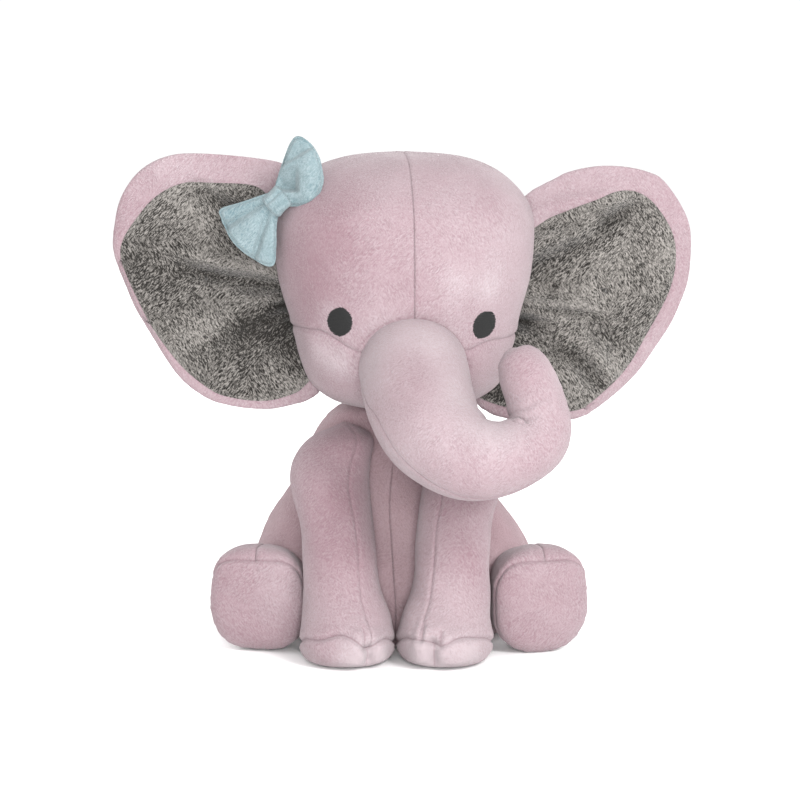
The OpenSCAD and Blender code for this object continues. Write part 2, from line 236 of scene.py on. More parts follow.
def plush(name, light, deep, seam_shade, grain=1900.0, contrast=0.9, lift=0.0005,
          length=3.0, patch=0.36, patch_size=38.0):
    """grain is tufts a metre, length a streak's length in tufts, patch_size in mm."""
    f = Finish(name, Roughness=0.95, Sheen_Weight=0.2, Sheen_Roughness=0.5)
    f.shader.inputs["Specular IOR Level"].default_value = 0.08
    lays = [f.noise((grain, grain, grain / length), 1.0, 0.5, 0.9, turned=lean)
            for lean in LEANS]
    region = f.noise(REGION_SCALE, 1.0, 0.5)
    choice = ((region - 0.5) * 9.0 + 0.5).clipped()
    dashes = lays[0] * (1.0 - choice) + lays[1] * choice
    patches = f.noise((1000.0 / patch_size,) * 3, 1.5, 0.55)
    nap = ((dashes - 0.5) * 3.0).math("MAXIMUM", -0.5).math("MINIMUM", 0.5)
    # Besides the random patches, the nap attribute brings in brushed nap and also painted shade
    # and painted light set per point on the covers.
    patches_nap_and_shade = (patches - 0.5) * (patch * 2) + f.attribute("nap")
    shade = (0.5 + nap * contrast + patches_nap_and_shade).clipped()
    colour = f.mix(shade, deep, light)
    colour = f.mix(f.attribute("seam").clipped(), colour, seam_shade)
    bump = f.node("ShaderNodeBump", {}, Strength=1.0, Distance=lift, Height=dashes)
    return f.finish(Base_Color=colour, Normal=bump)


ROOM_LIGHT = 2.60


def rgb(red, green, blue):
    """A colour as it looks in this room's light, from 0 to 255, on the shader's scale."""
    linear = [((c / 255 + 0.055) / 1.055) ** 2.4 if c > 10 else c / 3295
              for c in (red, green, blue)]
    return tuple(min(c / ROOM_LIGHT, 1.0) for c in linear) + (1.0,)


pink = plush("pink_plush", rgb(233, 215, 220), rgb(184, 147, 157), rgb(160, 120, 131),
             contrast=0.5)
# The body's pink is the head's cloth made deeper and rosier: partly the nap's own tone, partly
# painted shade of the body under the head and between the legs.
body_pink_nap_and_shade = plush("body_plush", rgb(230, 200, 206), rgb(181, 138, 148), rgb(154, 112, 122),
                  contrast=0.5)
grey = plush("grey_plush", rgb(196, 190, 184), rgb(50, 47, 44), rgb(92, 87, 85), grain=1850.0,
             contrast=1.15, lift=0.0006, length=3.6, patch=0.5, patch_size=34.0)
aqua = plush("bow_plush", rgb(208, 226, 230), rgb(118, 152, 161), rgb(112, 146, 155),
             grain=1700.0, contrast=0.5, patch=0.3, patch_size=12.0)
print("finishes:", [m.name for m in (pink, body_pink_nap_and_shade, grey, aqua)])


# %% Thread, filling and the small trims
def thread(name, colour):
    f = Finish(name, Roughness=0.7, Sheen_Weight=0.03, Sheen_Roughness=0.3)
    twist = f.noise((2600.0, 2600.0, 900.0), 2.0, 0.5)
    shade = f.mix(twist, tuple(c * 0.7 for c in colour[:3]) + (1,), colour)
    bump = f.node("ShaderNodeBump", {}, Strength=0.5, Distance=0.0002, Height=twist)
    return f.finish(Base_Color=shade, Normal=bump)


def fibre(name, light, deep, grain):
    f = Finish(name, Roughness=0.95, Sheen_Weight=0.3, Sheen_Roughness=0.5)
    strands = f.noise((grain, grain * 0.4, grain), 4.0, 0.7)
    bump = f.node("ShaderNodeBump", {}, Strength=0.9, Distance=0.001, Height=strands)
    return f.finish(Base_Color=f.mix(strands, deep, light), Normal=bump)


black_thread = thread("eye_thread", rgb(10, 9, 11))
filling = fibre("fibre_filling", rgb(250, 249, 246), rgb(222, 221, 216), 380.0)
bag_cloth = fibre("bag_cloth", rgb(232, 228, 212), rgb(206, 200, 182), 1500.0)
pellets = fibre("pellets", rgb(240, 240, 236), rgb(198, 198, 192), 260.0)
label_cloth = fibre("label_cloth", rgb(246, 246, 243), rgb(232, 232, 228), 2200.0)
paper = Finish("studio_floor", Roughness=0.9)
faint = paper.noise((3.0, 3.0, 3.0))
floor_mesh.materials.append(paper.finish(Base_Color=paper.mix(
    faint, (0.94, 0.94, 0.94, 1.0), (0.97, 0.97, 0.97, 1.0))))


# %% [markdown]
# ## Rows, forms and grids
#
# Every stuffed part is a closed loft. A handful of rows, each a place along the part
# with its half width and half depth, is joined by a smooth curve, and a grid of points
# runs round it. Modelling by hand in sculpt mode would give the same forms but not the
# same numbers twice.

# %% Curves through hand-chosen rows
def smooth(rows, t, closed=False):
    """Points of a smooth curve through rows, at each t from 0 to 1."""
    rows = np.asarray(rows, float)
    n = len(rows)
    s = (np.mod(t, 1.0) * n) if closed else np.clip(t, 0, 1) * (n - 1)
    i = np.floor(s).astype(int) if closed else np.minimum(np.floor(s).astype(int), n - 2)
    f = (s - i).reshape(np.shape(s) + (1,) * (rows.ndim - 1))

    def row(k):
        return rows[np.mod(i + k, n)] if closed else rows[np.clip(i + k, 0, n - 1)]

    a, b, c, d = row(-1), row(0), row(1), row(2)
    return 0.5 * (2 * b + (c - a) * f + (2 * a - 5 * b + 4 * c - d) * f**2
                  + (3 * b - a - 3 * c + d) * f**3)


def soft_power(values, power):
    return np.sign(values) * np.abs(values) ** power


def upright(rows, turn, up, power):
    """Points of an upright form: rows are x, y, z, half width, half depth."""
    s = smooth(rows, up)
    angle = 2 * math.pi * turn
    return np.stack([s[..., 0] + s[..., 3] * soft_power(np.cos(angle), power),
                     s[..., 1] + s[..., 4] * soft_power(np.sin(angle), power),
                     s[..., 2]], axis=-1)


def unit(v):
    return v / np.maximum(np.linalg.norm(v, axis=-1, keepdims=True), 1e-12)


def swept(rows, turn, up, lean=(0.35, -1, 0.2)):
    """Points of a tube: rows are x, y, z, radius; lean fixes which way turn 0 faces."""
    s = smooth(rows, up)
    way = unit(smooth(rows, np.minimum(up + 0.01, 1))[..., :3]
               - smooth(rows, np.maximum(up - 0.01, 0))[..., :3])
    side = unit(np.cross(way, np.array(lean, float)))
    top = np.cross(way, side)
    angle = 2 * math.pi * turn[..., None]
    return s[..., :3] + s[..., 3:4] * (np.cos(angle) * side + np.sin(angle) * top)


CROWDING = 0.62


def spread(count, stops, closed=False):
    """Shares from 0 to 1 that crowd together at each stop, where a seam needs detail."""
    last = count if closed else count - 1
    marks = sorted({round(stop * last) for stop in stops} | {0, last})
    shares = np.zeros(last + 1)
    for a, b in zip(marks, marks[1:]):
        x = np.linspace(0, 1, b - a + 1)
        pull = CROWDING * np.sin(2 * math.pi * x) / (2 * math.pi)
        shares[a: b + 1] = (a + (b - a) * (x - pull)) / last
    return shares[:count]


def span(*nodes):
    """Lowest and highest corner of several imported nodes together, as arrays in metres."""
    corners = [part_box(n) for n in nodes]
    low = np.min([np.array(c[0]) for c in corners], axis=0)
    high = np.max([np.array(c[1]) for c in corners], axis=0)
    return low, high


# %% [markdown]
# ## Cloth that swells
#
# A sewn cover takes its shape from the filling that presses on it. Each form's coarse
# grid becomes a cloth that is held along its seams and blown up by pressure, without
# gravity, for twenty frames. Its points may move only a few millimetres, and the fine
# grid follows them. Held rows stay put, so the cloth rises between its seams as a real
# cover does.

# %% Grids, cloth and meshes
def grid_faces(wide, high, closed):
    """Quads of a grid of high rows of wide points; closed joins each row to its start."""
    last = wide if closed else wide - 1
    i, j = np.meshgrid(np.arange(last), np.arange(high - 1))
    a = (j * wide + i).ravel()
    b = (j * wide + (i + 1) % wide).ravel()
    return np.stack([a, b, b + wide, a + wide], axis=1).tolist()


def mesh_of(name, points, faces):
    mesh = bpy.data.meshes.new(name)
    mesh.from_pydata(np.reshape(points, (-1, 3)).tolist(), [], faces)
    return mesh


def closed_mesh(name, grid, ends=None):
    """A grid closed round its rows, and with a point at each end."""
    high, wide = grid.shape[:2]
    if ends is None:
        ends = grid[[0, -1]].mean(1)
    top, ring = wide * (high - 1), range(wide)
    faces = grid_faces(wide, high, True)
    faces += [[wide * high, (i + 1) % wide, i] for i in ring]
    faces += [[wide * high + 1, top + i, top + (i + 1) % wide] for i in ring]
    return mesh_of(name, np.concatenate([grid.reshape(-1, 3), ends]), faces)


def place(name, mesh, material):
    mesh.materials.append(material)
    for polygon in mesh.polygons:
        polygon.use_smooth = True
    return added(name, mesh)


def resample(grid, wide, high):
    """A coarse grid, closed round its rows, made finer by smooth curves both ways."""
    up = np.linspace(0, 1, high)
    turn = np.linspace(0, 1, wide, endpoint=False)
    taller = smooth(grid, up)
    return np.swapaxes(smooth(np.swapaxes(taller, 0, 1), turn, closed=True), 0, 1)


SWELL_FRAMES = 20
CLOTH_SETTINGS = {
    "use_pressure": True, "uniform_pressure_force": 4.0, "vertex_group_mass": "pins",
    "pin_stiffness": 1.0, "mass": 0.2, "tension_stiffness": 12, "compression_stiffness": 6,
    "bending_stiffness": 0.3,
}


def swell(grid, held, cap):
    """Blows a coarse closed grid up as cloth; held is 1 where a seam pins it."""
    cloth = added("cloth", closed_mesh("cloth", grid))
    pins = cloth.vertex_groups.new(name="pins")
    weights = np.concatenate([held.ravel(), held[[0, -1]].mean(1)])
    for index in np.nonzero(weights > 0.01)[0]:
        pins.add([int(index)], float(weights[index]), "REPLACE")
    settings = cloth.modifiers.new("cloth", "CLOTH").settings
    for key, value in CLOTH_SETTINGS.items():
        setattr(settings, key, value)
    settings.effector_weights.gravity = 0
    scene = bpy.context.scene
    scene.frame_start = 1
    scene.frame_end = SWELL_FRAMES
    for number in range(1, SWELL_FRAMES + 1):
        scene.frame_set(number)
    shown = cloth.evaluated_get(bpy.context.evaluated_depsgraph_get())
    moved = np.empty(len(shown.data.vertices) * 3)
    shown.data.vertices.foreach_get("co", moved)
    moved = moved[: grid.size].reshape(grid.shape)
    bpy.data.objects.remove(cloth)
    scene.frame_set(1)
    step = moved - grid
    length = np.linalg.norm(step, axis=-1, keepdims=True)
    factor = np.minimum(1.0, cap / np.maximum(length, 1e-9))
    print("  cloth moved up to", round(float(length.max() / MM), 2), "mm")
    return grid + step * factor


# %% [markdown]
# ## Seams
#
# A seam pulls the cloth in along a thin line, and the cloth beside it stands up and
# puckers. Here a seam is a line of points on the form. Every point of the fine grid
# learns how far it lies from the line, sinks near it, and ripples a little beside it.
# The same distance tints the bottom of the seam, where the pile parts.

# %% Seams sunk into a form
def to_line(points, line):
    """Distance of each point to a line of points, and how far along it lies."""
    flat = points.reshape(-1, points.shape[-1])
    start, step = line[:-1], np.diff(line, axis=0)
    length = np.linalg.norm(step, axis=1)
    done = np.concatenate([[0], np.cumsum(length)])[:-1]
    best = np.full(len(flat), 1e9)
    place_along = np.zeros(len(flat))
    for a, v, size, before in zip(start, step, length, done):
        if size < 1e-9:
            continue
        t = np.clip(((flat - a) @ v) / size**2, 0, 1)
        gap = np.linalg.norm(flat - a - t[:, None] * v, axis=1)
        nearer = gap < best
        best[nearer] = gap[nearer]
        place_along[nearer] = (before + t * size)[nearer]
    return best.reshape(points.shape[:-1]), place_along.reshape(points.shape[:-1])


def ripple(x, seed):
    """A soft wave that never quite repeats, between -1 and 1."""
    return (np.sin(x + seed) + 0.6 * np.sin(1.73 * x + 2.1 * seed)
            + 0.4 * np.sin(2.61 * x + 0.7 * seed)) / 2.0


def normals_of(grid):
    across = np.roll(grid, -1, 1) - np.roll(grid, 1, 1)
    along = np.gradient(grid, axis=0)
    return unit(np.cross(across, along))


class Cover:
    """The fine grid of one stuffed form, closed round, while its details are added."""

    def __init__(self, grid):
        self.grid = grid
        self.rise = np.zeros(grid.shape[:2])
        self.tint = np.zeros(grid.shape[:2])
        # nap holds brushed nap and also painted shade and painted light, set per point below for
        # the head, the ears, the body and the legs.
        self.nap = np.zeros(grid.shape[:2])
        self.normals = normals_of(grid)
        across = np.ptp(grid, axis=1).max(axis=1)
        for rows in (range(len(grid) // 2), range(len(grid) - 1, len(grid) // 2, -1)):
            rows = list(rows)
            wide = next(row for row in rows if across[row] > 5 * MM)
            for row in rows[: rows.index(wide)]:
                self.normals[row] = unit(self.normals[wide].mean(0))

    def ring(self, row, step):
        """Every step-th point of one row, closed."""
        return np.concatenate([self.grid[row], self.grid[row, :1]])[::step]

    def seam(self, line, depth=0.4 * MM, width=0.85 * MM, pucker=0.2 * MM, pitch=7 * MM,
             seed=1.0, tint=0.3):
        gap, along = to_line(self.grid, line)
        self.rise -= depth * np.exp(-((gap / width) ** 2))
        self.rise += 0.3 * depth * np.exp(-(((gap - 2.6 * width) / (1.8 * width)) ** 2))
        beside = np.exp(-gap / (5 * MM)) * (1 - np.exp(-((gap / (1.2 * MM)) ** 2)))
        self.rise += pucker * beside * ripple(2 * math.pi * along / pitch, seed)
        self.tint = np.maximum(self.tint, tint * np.exp(-((gap / (0.4 * MM)) ** 2)))

    def lumps(self, height=0.5 * MM, size=24 * MM, seed=1.0):
        x, y, z = (self.grid / size * 2 * math.pi / 2.2).transpose(2, 0, 1)
        wave = (np.sin(x + 1.3 * seed) * np.sin(y * 1.1 + seed) + np.sin(1.4 * z + x + seed)
                * np.sin(1.2 * y - z + 2 * seed)) / 2
        self.rise += height * wave

    def blobs(self, points, radius):
        total = np.zeros(self.grid.shape[:2])
        for point in np.atleast_2d(points):
            total += np.exp(-(np.linalg.norm(self.grid - point, axis=-1) / radius) ** 2)
        return total

    def swellings(self, points, radius, height):
        self.rise += height * self.blobs(points, radius)

    def brush(self, points, radius, amount):
        """Nap made lighter (above 0) or darker around points: brushed nap in some places, painted
        shade in others.
        """
        self.nap += amount * self.blobs(points, radius)

    def done(self):
        return self.grid + self.normals * self.rise[..., None]


# %% Cutting a form into its panels
CLOTH_THICKNESS = 1.6 * MM


def panel(name, cover, points, rows, columns, material):
    """Cuts rows and columns out of a form's grid as one panel of cloth with a back.

    columns is None for a panel that runs all the way round."""
    high, wide = points.shape[:2]
    closed = columns is None
    first, last = (0, wide - 1) if closed else columns
    picked = np.arange(first, last + 1 if last > first else last + wide + 1) % wide
    low, top = rows
    cut = (slice(low, top + 1), picked)
    part = points[cut]
    count_high, count_wide = part.shape[:2]
    faces = grid_faces(count_wide, count_high, closed)
    verts = part.reshape(-1, 3)
    values = {"seam": cover.tint[cut].ravel(), "nap": cover.nap[cut].ravel()}
    ring = range(count_wide if closed else count_wide - 1)
    for at_end, row in ((low == 0, 0), (top == high - 1, count_high - 1)):
        if not at_end:
            continue
        tip = len(verts)
        verts = np.concatenate([verts, points[low if row == 0 else top].mean(0)[None]])
        values = {key: np.append(value, value[row * count_wide]) for key, value in values.items()}
        for i in ring:
            a, b = row * count_wide + i, row * count_wide + (i + 1) % count_wide
            faces.append([tip, b, a] if row == 0 else [tip, a, b])
    mesh = mesh_of(name, verts, faces)
    for key, value in values.items():
        attribute = mesh.attributes.new(key, "FLOAT", "POINT")
        attribute.data.foreach_set("value", value.astype(np.float32))
    piece = place(name, mesh, material)
    if not (closed and low == 0 and top == high - 1):
        back_cloth = piece.modifiers.new("cloth", "SOLIDIFY")
        back_cloth.thickness = CLOTH_THICKNESS
        back_cloth.offset = -1
    return piece


def tag(piece, rides, slot, *nodes):
    """Parents a piece to the empty of the body it rides on when rides names one, else only bakes
    its place, and hides the nodes it stands for.
    """
    if isinstance(rides, str):
        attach(piece, rides)
    else:
        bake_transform(piece)
    if nodes:
        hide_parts(*nodes)
    return piece


def sew(piece, rides, slot, fill, *nodes):
    """Tags a finished panel; fill, how padded it is, is not used."""
    tag(piece, rides, slot, *nodes)


def sew_panels(cover, points, material, rides, slot, fill, *table):
    """Cuts and sews several panels of a form; a row of the table is node, rows, columns."""
    for node, rows, columns in table:
        piece = panel(node + "_cloth", cover, points, rows, columns, material)
        sew(piece, rides, slot, fill, node)


# %% [markdown]
# ## Laying a form in its place
#
# The rows below are drawn in millimetres, as a pattern maker would note them. Each form
# is then moved and stretched into the box of the nodes it stands for, so the toy keeps
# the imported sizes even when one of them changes.

# %% Fitting, turning and swelling a form
FLOOR_GAP = 0.2 * MM


def ease(x, start, end):
    """A soft step from 0 at start to 1 at end."""
    t = np.clip((x - start) / (end - start), 0, 1)
    return t * t * (3 - 2 * t)


def middle_of(points):
    return Vector(points.mean(0).tolist())


def standing(cover, press=0.0):
    """A form's finished points, pressed flat where it stands on the floor."""
    flat = 1 - ease(cover.grid[..., 2], 1.5 * MM, 6 * MM)
    cover.rise = cover.rise * (1 - flat) - press * flat
    points = cover.done()
    points[..., 2] = np.maximum(points[..., 2], FLOOR_GAP)
    return points


def fitted(grid, *nodes):
    low, high = span(*nodes)
    points = grid.reshape(-1, 3)
    mine_low, mine_high = points.min(0), points.max(0)
    scale = (high - low) / (mine_high - mine_low)
    return (low + high) / 2 + (grid - (mine_low + mine_high) / 2) * scale


def turned(grid, degrees):
    angle = math.radians(degrees)
    x, y, z = grid.transpose(2, 0, 1)
    return np.stack([x * math.cos(angle) - y * math.sin(angle),
                     x * math.sin(angle) + y * math.cos(angle), z], axis=-1)


def mirrored(grid):
    """The other side's copy; its columns run backwards so that faces still look out."""
    flipped = grid * np.array([-1, 1, 1])
    return np.roll(flipped[:, ::-1], 1, axis=1)


def blown(shape, high, wide, nodes, seams=(), rows=(), cap=1.5, coarse=(40, 48), side=1,
          after=None, free_ends=False):
    """Draws shape(turn, up) as a fine grid and adds the swell of a coarse cloth copy.

    seams are held turns, rows are held heights, and cap is in millimetres."""
    def drawn(h, w):
        turn, up = np.meshgrid(spread(w, seams, closed=True), spread(h, rows))
        grid = shape(turn, up)
        return mirrored(grid) if side < 0 else grid

    fine = fitted(drawn(high, wide), *nodes)
    rough = fitted(drawn(*coarse), *nodes)
    held = np.zeros(coarse)
    held[[0, -1]] = 0.0 if free_ends else 1.0
    for turn in seams:
        column = turn if side > 0 else 1 - turn
        held[:, int(round(column * coarse[1])) % coarse[1]] = 1.0
    for up in rows:
        held[int(round(up * (coarse[0] - 1)))] = 1.0
    moved = swell(rough, held, cap=cap * MM) - rough
    grid = fine + resample(moved, wide, high)
    return Cover(after(grid) if after else grid)


# %% [markdown]
# ## Head
#
# The head is four panels: two over the crown that meet in the centre seam, and two
# cheeks below them. The cheek seam dips towards the trunk and the cheeks bulge under
# it. One fine grid carries all four, so that they meet exactly where they are sewn.

# %% Head cover
HEAD_ROWS = [
    [0, 0, 117.2, 2, 2], [0, -1, 119.5, 30, 26.5], [0, -2, 129, 46, 42.5],
    [0, -2, 143, 52.5, 51], [0, -1, 161, 57, 54.5], [0, 0, 183, 63, 57.5],
    [0, 1, 204, 65, 57], [0, 2, 220, 61.5, 52.5], [0, 3, 234, 48, 40],
    [0, 3, 241.5, 29, 24], [0, 3, 244, 1.5, 1.5],
]
HEAD_TURN = 5
CHEEK = 0.36
HEAD_HIGH, HEAD_WIDE = 181, 288
FRONT, BACK = 0.75, 0.25


def from_front(turn):
    """Turn from the face's middle in radians, positive towards the toy's own left."""
    return 2 * math.pi * (np.mod(turn - FRONT + 0.5, 1.0) - 0.5)


def warped(up, row, height):
    """Slides rows so that the one at share row lies at height."""
    return np.where(up < row, up / row * height,
                    height + (up - row) / (1 - row) * (1 - height))


def head_shape(turn, up):
    angle = from_front(turn)
    right = 0.345 + 0.050 * ease(-angle, 0.42, 0.90) - 0.02 * ease(-angle, 1.0, 2.2)
    left = 0.345 + 0.022 * ease(angle, 0.40, 0.75)
    seam = np.where(angle < 0, right, left)
    return turned(upright(HEAD_ROWS, turn, warped(up, CHEEK, seam), 0.94), HEAD_TURN)


HEAD_NODES = ("head_panel_left", "head_panel_right", "cheek_panel_left", "cheek_panel_right")
head = blown(head_shape, HEAD_HIGH, HEAD_WIDE, HEAD_NODES, seams=(FRONT, BACK),
             rows=(CHEEK,), cap=1.6, coarse=(44, 64))
head_low, head_high = span(*HEAD_NODES)
head_middle = (head_low + head_high) / 2


def on_face(cover, marks):
    """Points of a cover's front at marks, each (across, up) in millimetres from the
    middle of the head's box."""
    marks = np.array(marks, float) * MM + np.array([head_middle[0], head_middle[2]])
    front = cover.grid.reshape(-1, 3)
    front = front[front[:, 1] < head_middle[1]]
    points = []
    for x, z in marks:
        gap = np.hypot(front[:, 0] - x, front[:, 2] - z)
        near = np.argsort(gap)[:5]
        weight = 1 / (gap[near] + 0.2 * MM)
        points.append([x, (front[near, 1] * weight).sum() / weight.sum(), z])
    return np.array(points)


def curve_of(points, count=60):
    return smooth(points, np.linspace(0, 1, count))


CHEEK_ROW = round(CHEEK * (HEAD_HIGH - 1))
FRONT_COLUMN = round(FRONT * HEAD_WIDE)
BACK_COLUMN = round(BACK * HEAD_WIDE)
trunk_arc = curve_of(on_face(head, [
    (-23, -38), (-24, -33), (-20, -25.5), (-12, -17.5), (-3, -13.4), (5, -12.6),
    (13, -14.4), (21, -19.5), (27, -27), (30.5, -35), (31, -40)]))
crown_seam = head.grid[CHEEK_ROW + 18:, FRONT_COLUMN][::3]
back_seam = head.grid[4:, BACK_COLUMN][::4]
cheek_line = head.grid[CHEEK_ROW][::4]

head.lumps(0.45 * MM, 30 * MM, 1.0)
head.swellings(on_face(head, [(-44, -30)]), 9 * MM, 1.6 * MM)
head.swellings(on_face(head, [(-34, -44), (40, -42)]), 16 * MM, 1.8 * MM)
arc_gap, _ = to_line(head.grid, trunk_arc)
head.rise += 0.9 * MM * np.exp(-((arc_gap / (9 * MM)) ** 2))
head.seam(crown_seam, pucker=0.15 * MM, seed=2.0)
head.seam(back_seam, seed=3.0)
head.seam(cheek_line, depth=0.7 * MM, width=1.1 * MM, seed=4.0)
ARC_SEAM = {"depth": 0.35 * MM, "width": 0.9 * MM, "pucker": 0.08 * MM, "seed": 5.0,
            "tint": 0.5}
head.seam(trunk_arc, **ARC_SEAM)
# The head's right forehead and side are darkened: partly brushed nap, partly painted shade of the
# side turned from the key light.
head.brush(on_face(head, [(-36, 34), (-46, 0)]), 26 * MM, -0.32)
head.brush(on_face(head, [(-40, -30), (-30, -36), (-36, -12), (40, 0), (24, 4)]), 8 * MM, 0.34)
head_points = head.done()

CROWN_ROWS = (CHEEK_ROW, HEAD_HIGH - 1)
sew_panels(head, head_points, pink, "head", "pink_plush", 0.8,
           ("head_panel_left", CROWN_ROWS, (FRONT_COLUMN, BACK_COLUMN)),
           ("head_panel_right", CROWN_ROWS, (BACK_COLUMN, FRONT_COLUMN)),
           ("cheek_panel_left", (0, CHEEK_ROW), (FRONT_COLUMN, BACK_COLUMN)),
           ("cheek_panel_right", (0, CHEEK_ROW), (BACK_COLUMN, FRONT_COLUMN)))
print("head cover:", HEAD_HIGH * HEAD_WIDE, "points, box", np.round(head_points.min((0, 1)), 3))


# %% [markdown]
# ## Trunk
#
# The trunk is a tapered tube that leaves the face, swings to the toy's left and curls up. A long
# gusset closes it underneath, with a seam along each of its edges. Where the stuffed tube bends,
# its inner side folds into short creases.

# %% Trunk cover
TRUNK_ROWS = [
    [8, -56, 156, 3], [8, -60, 152.5, 17], [8, -70, 146, 25], [9, -82, 139, 26.5],
    [12, -98, 128, 25.7], [19, -114, 116, 23.5], [35, -124, 107, 20.5], [53, -125, 108, 17],
    [67, -121, 117, 14.5], [65.6, -116, 132, 13.8], [61, -112, 145, 12.9],
    [57, -109.5, 152.5, 9.8], [55.2, -108.5, 155.6, 5.2], [54.8, -108.3, 156.6, 1],
]
TRUNK_HIGH, TRUNK_WIDE = 221, 120
GUSSET = (0.10, 0.40)
TRUNK_NODES = ("trunk_top_panel", "trunk_underside_panel")


def trunk_shape(turn, up):
    """The gusset winds a little round the tube, so that one seam shows along its front."""
    twist = -0.15 * ease(up, 0.12, 0.42) + 0.10 * ease(up, 0.62, 0.9)
    return swept(TRUNK_ROWS, turn + twist, 0.02 + 0.98 * up)


trunk = blown(trunk_shape, TRUNK_HIGH, TRUNK_WIDE, TRUNK_NODES, seams=GUSSET, cap=1.0,
              coarse=(56, 40))
gusset_columns = [round(g * TRUNK_WIDE) for g in GUSSET]
trunk.lumps(0.5 * MM, 26 * MM, 2.2)
for column, seed in zip(gusset_columns, (1.0, 2.6)):
    trunk.seam(trunk.grid[22:-4, column][::4], seed=seed)
trunk.seam(trunk_arc, **ARC_SEAM)


def crease(cover, row, turn, length, depth, width, slope=0.0):
    """A short fold across the tube at a row, centred on a turn."""
    high, wide = cover.grid.shape[:2]
    turns = turn + np.linspace(-0.5, 0.5, 24) * length
    rows = row * (high - 1) + slope * (turns - turn) * high
    i = np.clip(rows.round().astype(int), 0, high - 1)
    j = np.mod((turns * wide).round().astype(int), wide)
    line = cover.grid[i, j]
    gap, along = to_line(cover.grid, line)
    ends = np.sin(np.clip(along / max(along.max(), 1e-9), 0, 1) * math.pi) ** 0.7
    cover.rise -= depth * ends * np.exp(-((gap / width) ** 2))
    cover.rise += 0.35 * depth * ends * np.exp(-(((gap - 2.4 * width) / (1.5 * width)) ** 2))


for row, turn, length, slope, depth in ((0.585, 0.66, 0.30, 0.05, 0.9),
                                        (0.610, 0.72, 0.34, 0.03, 0.8)):
    crease(trunk, row, turn, length, depth * MM, 1.2 * MM, slope)
trunk.brush(trunk.grid[70:150:20, 92], 12 * MM, 0.25)
trunk.brush(trunk.grid[30:60:12, 60], 12 * MM, -0.40)
trunk_points = trunk.done()

neck_start = middle_of(trunk_arc)
trunk_way = Vector((trunk.grid[75].mean(0) - trunk.grid[48].mean(0)).tolist()).normalized()
TRUNK_BEND = ("head", "trunk", neck_start - trunk_way * 4 * MM,
              neck_start + trunk_way * 20 * MM)
sew_panels(trunk, trunk_points, pink, TRUNK_BEND, "pink_plush", 0.8,
           ("trunk_top_panel", (0, TRUNK_HIGH - 1), gusset_columns[::-1]),
           ("trunk_underside_panel", (0, TRUNK_HIGH - 1), gusset_columns))
print("trunk bends between", [tuple(round(c, 3) for c in p) for p in TRUNK_BEND[2:]])


# %% [markdown]
# ## Ears
#
# Each ear is two flat cuts sewn together with a thin batting between them: a pink back
# whose edge rolls over to the front, and a grey lining set inside that edge. Pulling the
# ear's root together makes pleats that fan out from the head and fade within a few
# centimetres. The pleats are drawn as ripples that turn about the root, because a cloth
# fold this small would need a far finer simulation.

# %% Ear covers
EAR_OUTLINES = {
    1: [(-12, -52), (3, -65), (18, -66.5), (32, -60), (46, -50), (59, -37), (70, -21),
        (77, -6), (80, 9), (80, 22), (77, 34), (70, 45.5), (60, 55), (47, 59.6),
        (34, 54.5), (18, 44.5), (2, 30), (0, 16), (0, 0), (-4, -20), (-8, -38)],
    -1: [(-10, -40), (-1, -54), (9, -63), (22, -66), (45, -53.5), (63, -29), (76, -2),
         (80, 21), (70, 47), (46, 60), (21, 56), (8, 46), (-1, 34), (0, 20), (0, 2),
         (-4, -14), (-12, -28)],
}
EAR_MIDDLE = np.array([34.0, -2.0])
EAR_HIGH, EAR_WIDE = 161, 240
EAR_SEAM = 0.70
EAR_PAD = 5.0
EAR_CUP = 12.0
EAR_SWEEP = 6


def ear_flat(outline, turn, size):
    """Point of an ear's flat cut: out from the root and up from its middle."""
    rim = smooth(outline, turn, closed=True)
    return EAR_MIDDLE + (rim - EAR_MIDDLE) * size[..., None]


def rim_width(outline, turn, top, side, bottom):
    """Width in millimetres of the pink edge that shows in front."""
    rim = smooth(outline, turn, closed=True) - EAR_MIDDLE
    up = rim[..., 1] / 60
    width = side + (top - side) * ease(up, 0.1, 0.9) + (bottom - side) * ease(-up, 0.4, 0.95)
    shown = ease(rim[..., 0], -52, -30) * (0.6 + 0.4 * ease(rim[..., 0], -30, 8))
    return (width + 1.2) * shown + 0.3, np.linalg.norm(rim, axis=-1)


def ear_shape_for(outline, top, side, bottom):
    def shape(turn, up):
        width, reach = rim_width(outline, turn, top, side, bottom)
        seam = np.arccos(np.clip(1 - width / reach, 0.05, 0.999)) / math.pi + 0.5
        angle = (warped(up, EAR_SEAM, seam) - 0.5) * math.pi
        size = np.maximum(np.cos(angle), 0.015)
        flat = ear_flat(outline, turn, size)
        thick = EAR_PAD * np.sign(angle) * np.sqrt(np.maximum(1 - size**4, 0))
        out = flat - EAR_MIDDLE
        cupped = EAR_CUP * (np.linalg.norm(out, axis=-1) / 62) ** 2
        forward = cupped + thick
        return turned(np.stack([flat[..., 0], -forward, flat[..., 1]], axis=-1), EAR_SWEEP)
    return shape


# Folds from an ear's root: slope, start height, depth, half width, reach.
FOLDS = {1: [(-0.18, -6, 1.6, 2.0, 0), (-1.1, -12, 3.0, 5.0, 1), (0.15, 34, 3.6, 6.0, 1),
             (0.75, 8, 2.4, 5.0, 2)],
         -1: [(0.22, -4, 2.6, 4.0, 2), (0.9, 14, 2.6, 5.0, 2), (-0.55, -14, 2.2, 5.0, 1)]}


def ear_local(cover, side):
    """Out and up of an ear's points from its root's middle, in millimetres."""
    x = cover.grid[..., 0] * side
    z = cover.grid[..., 2]
    root = x.min() + 12 * MM
    middle = (z.max() + z.min()) / 2
    return (x - root) / MM, (z - middle) / MM


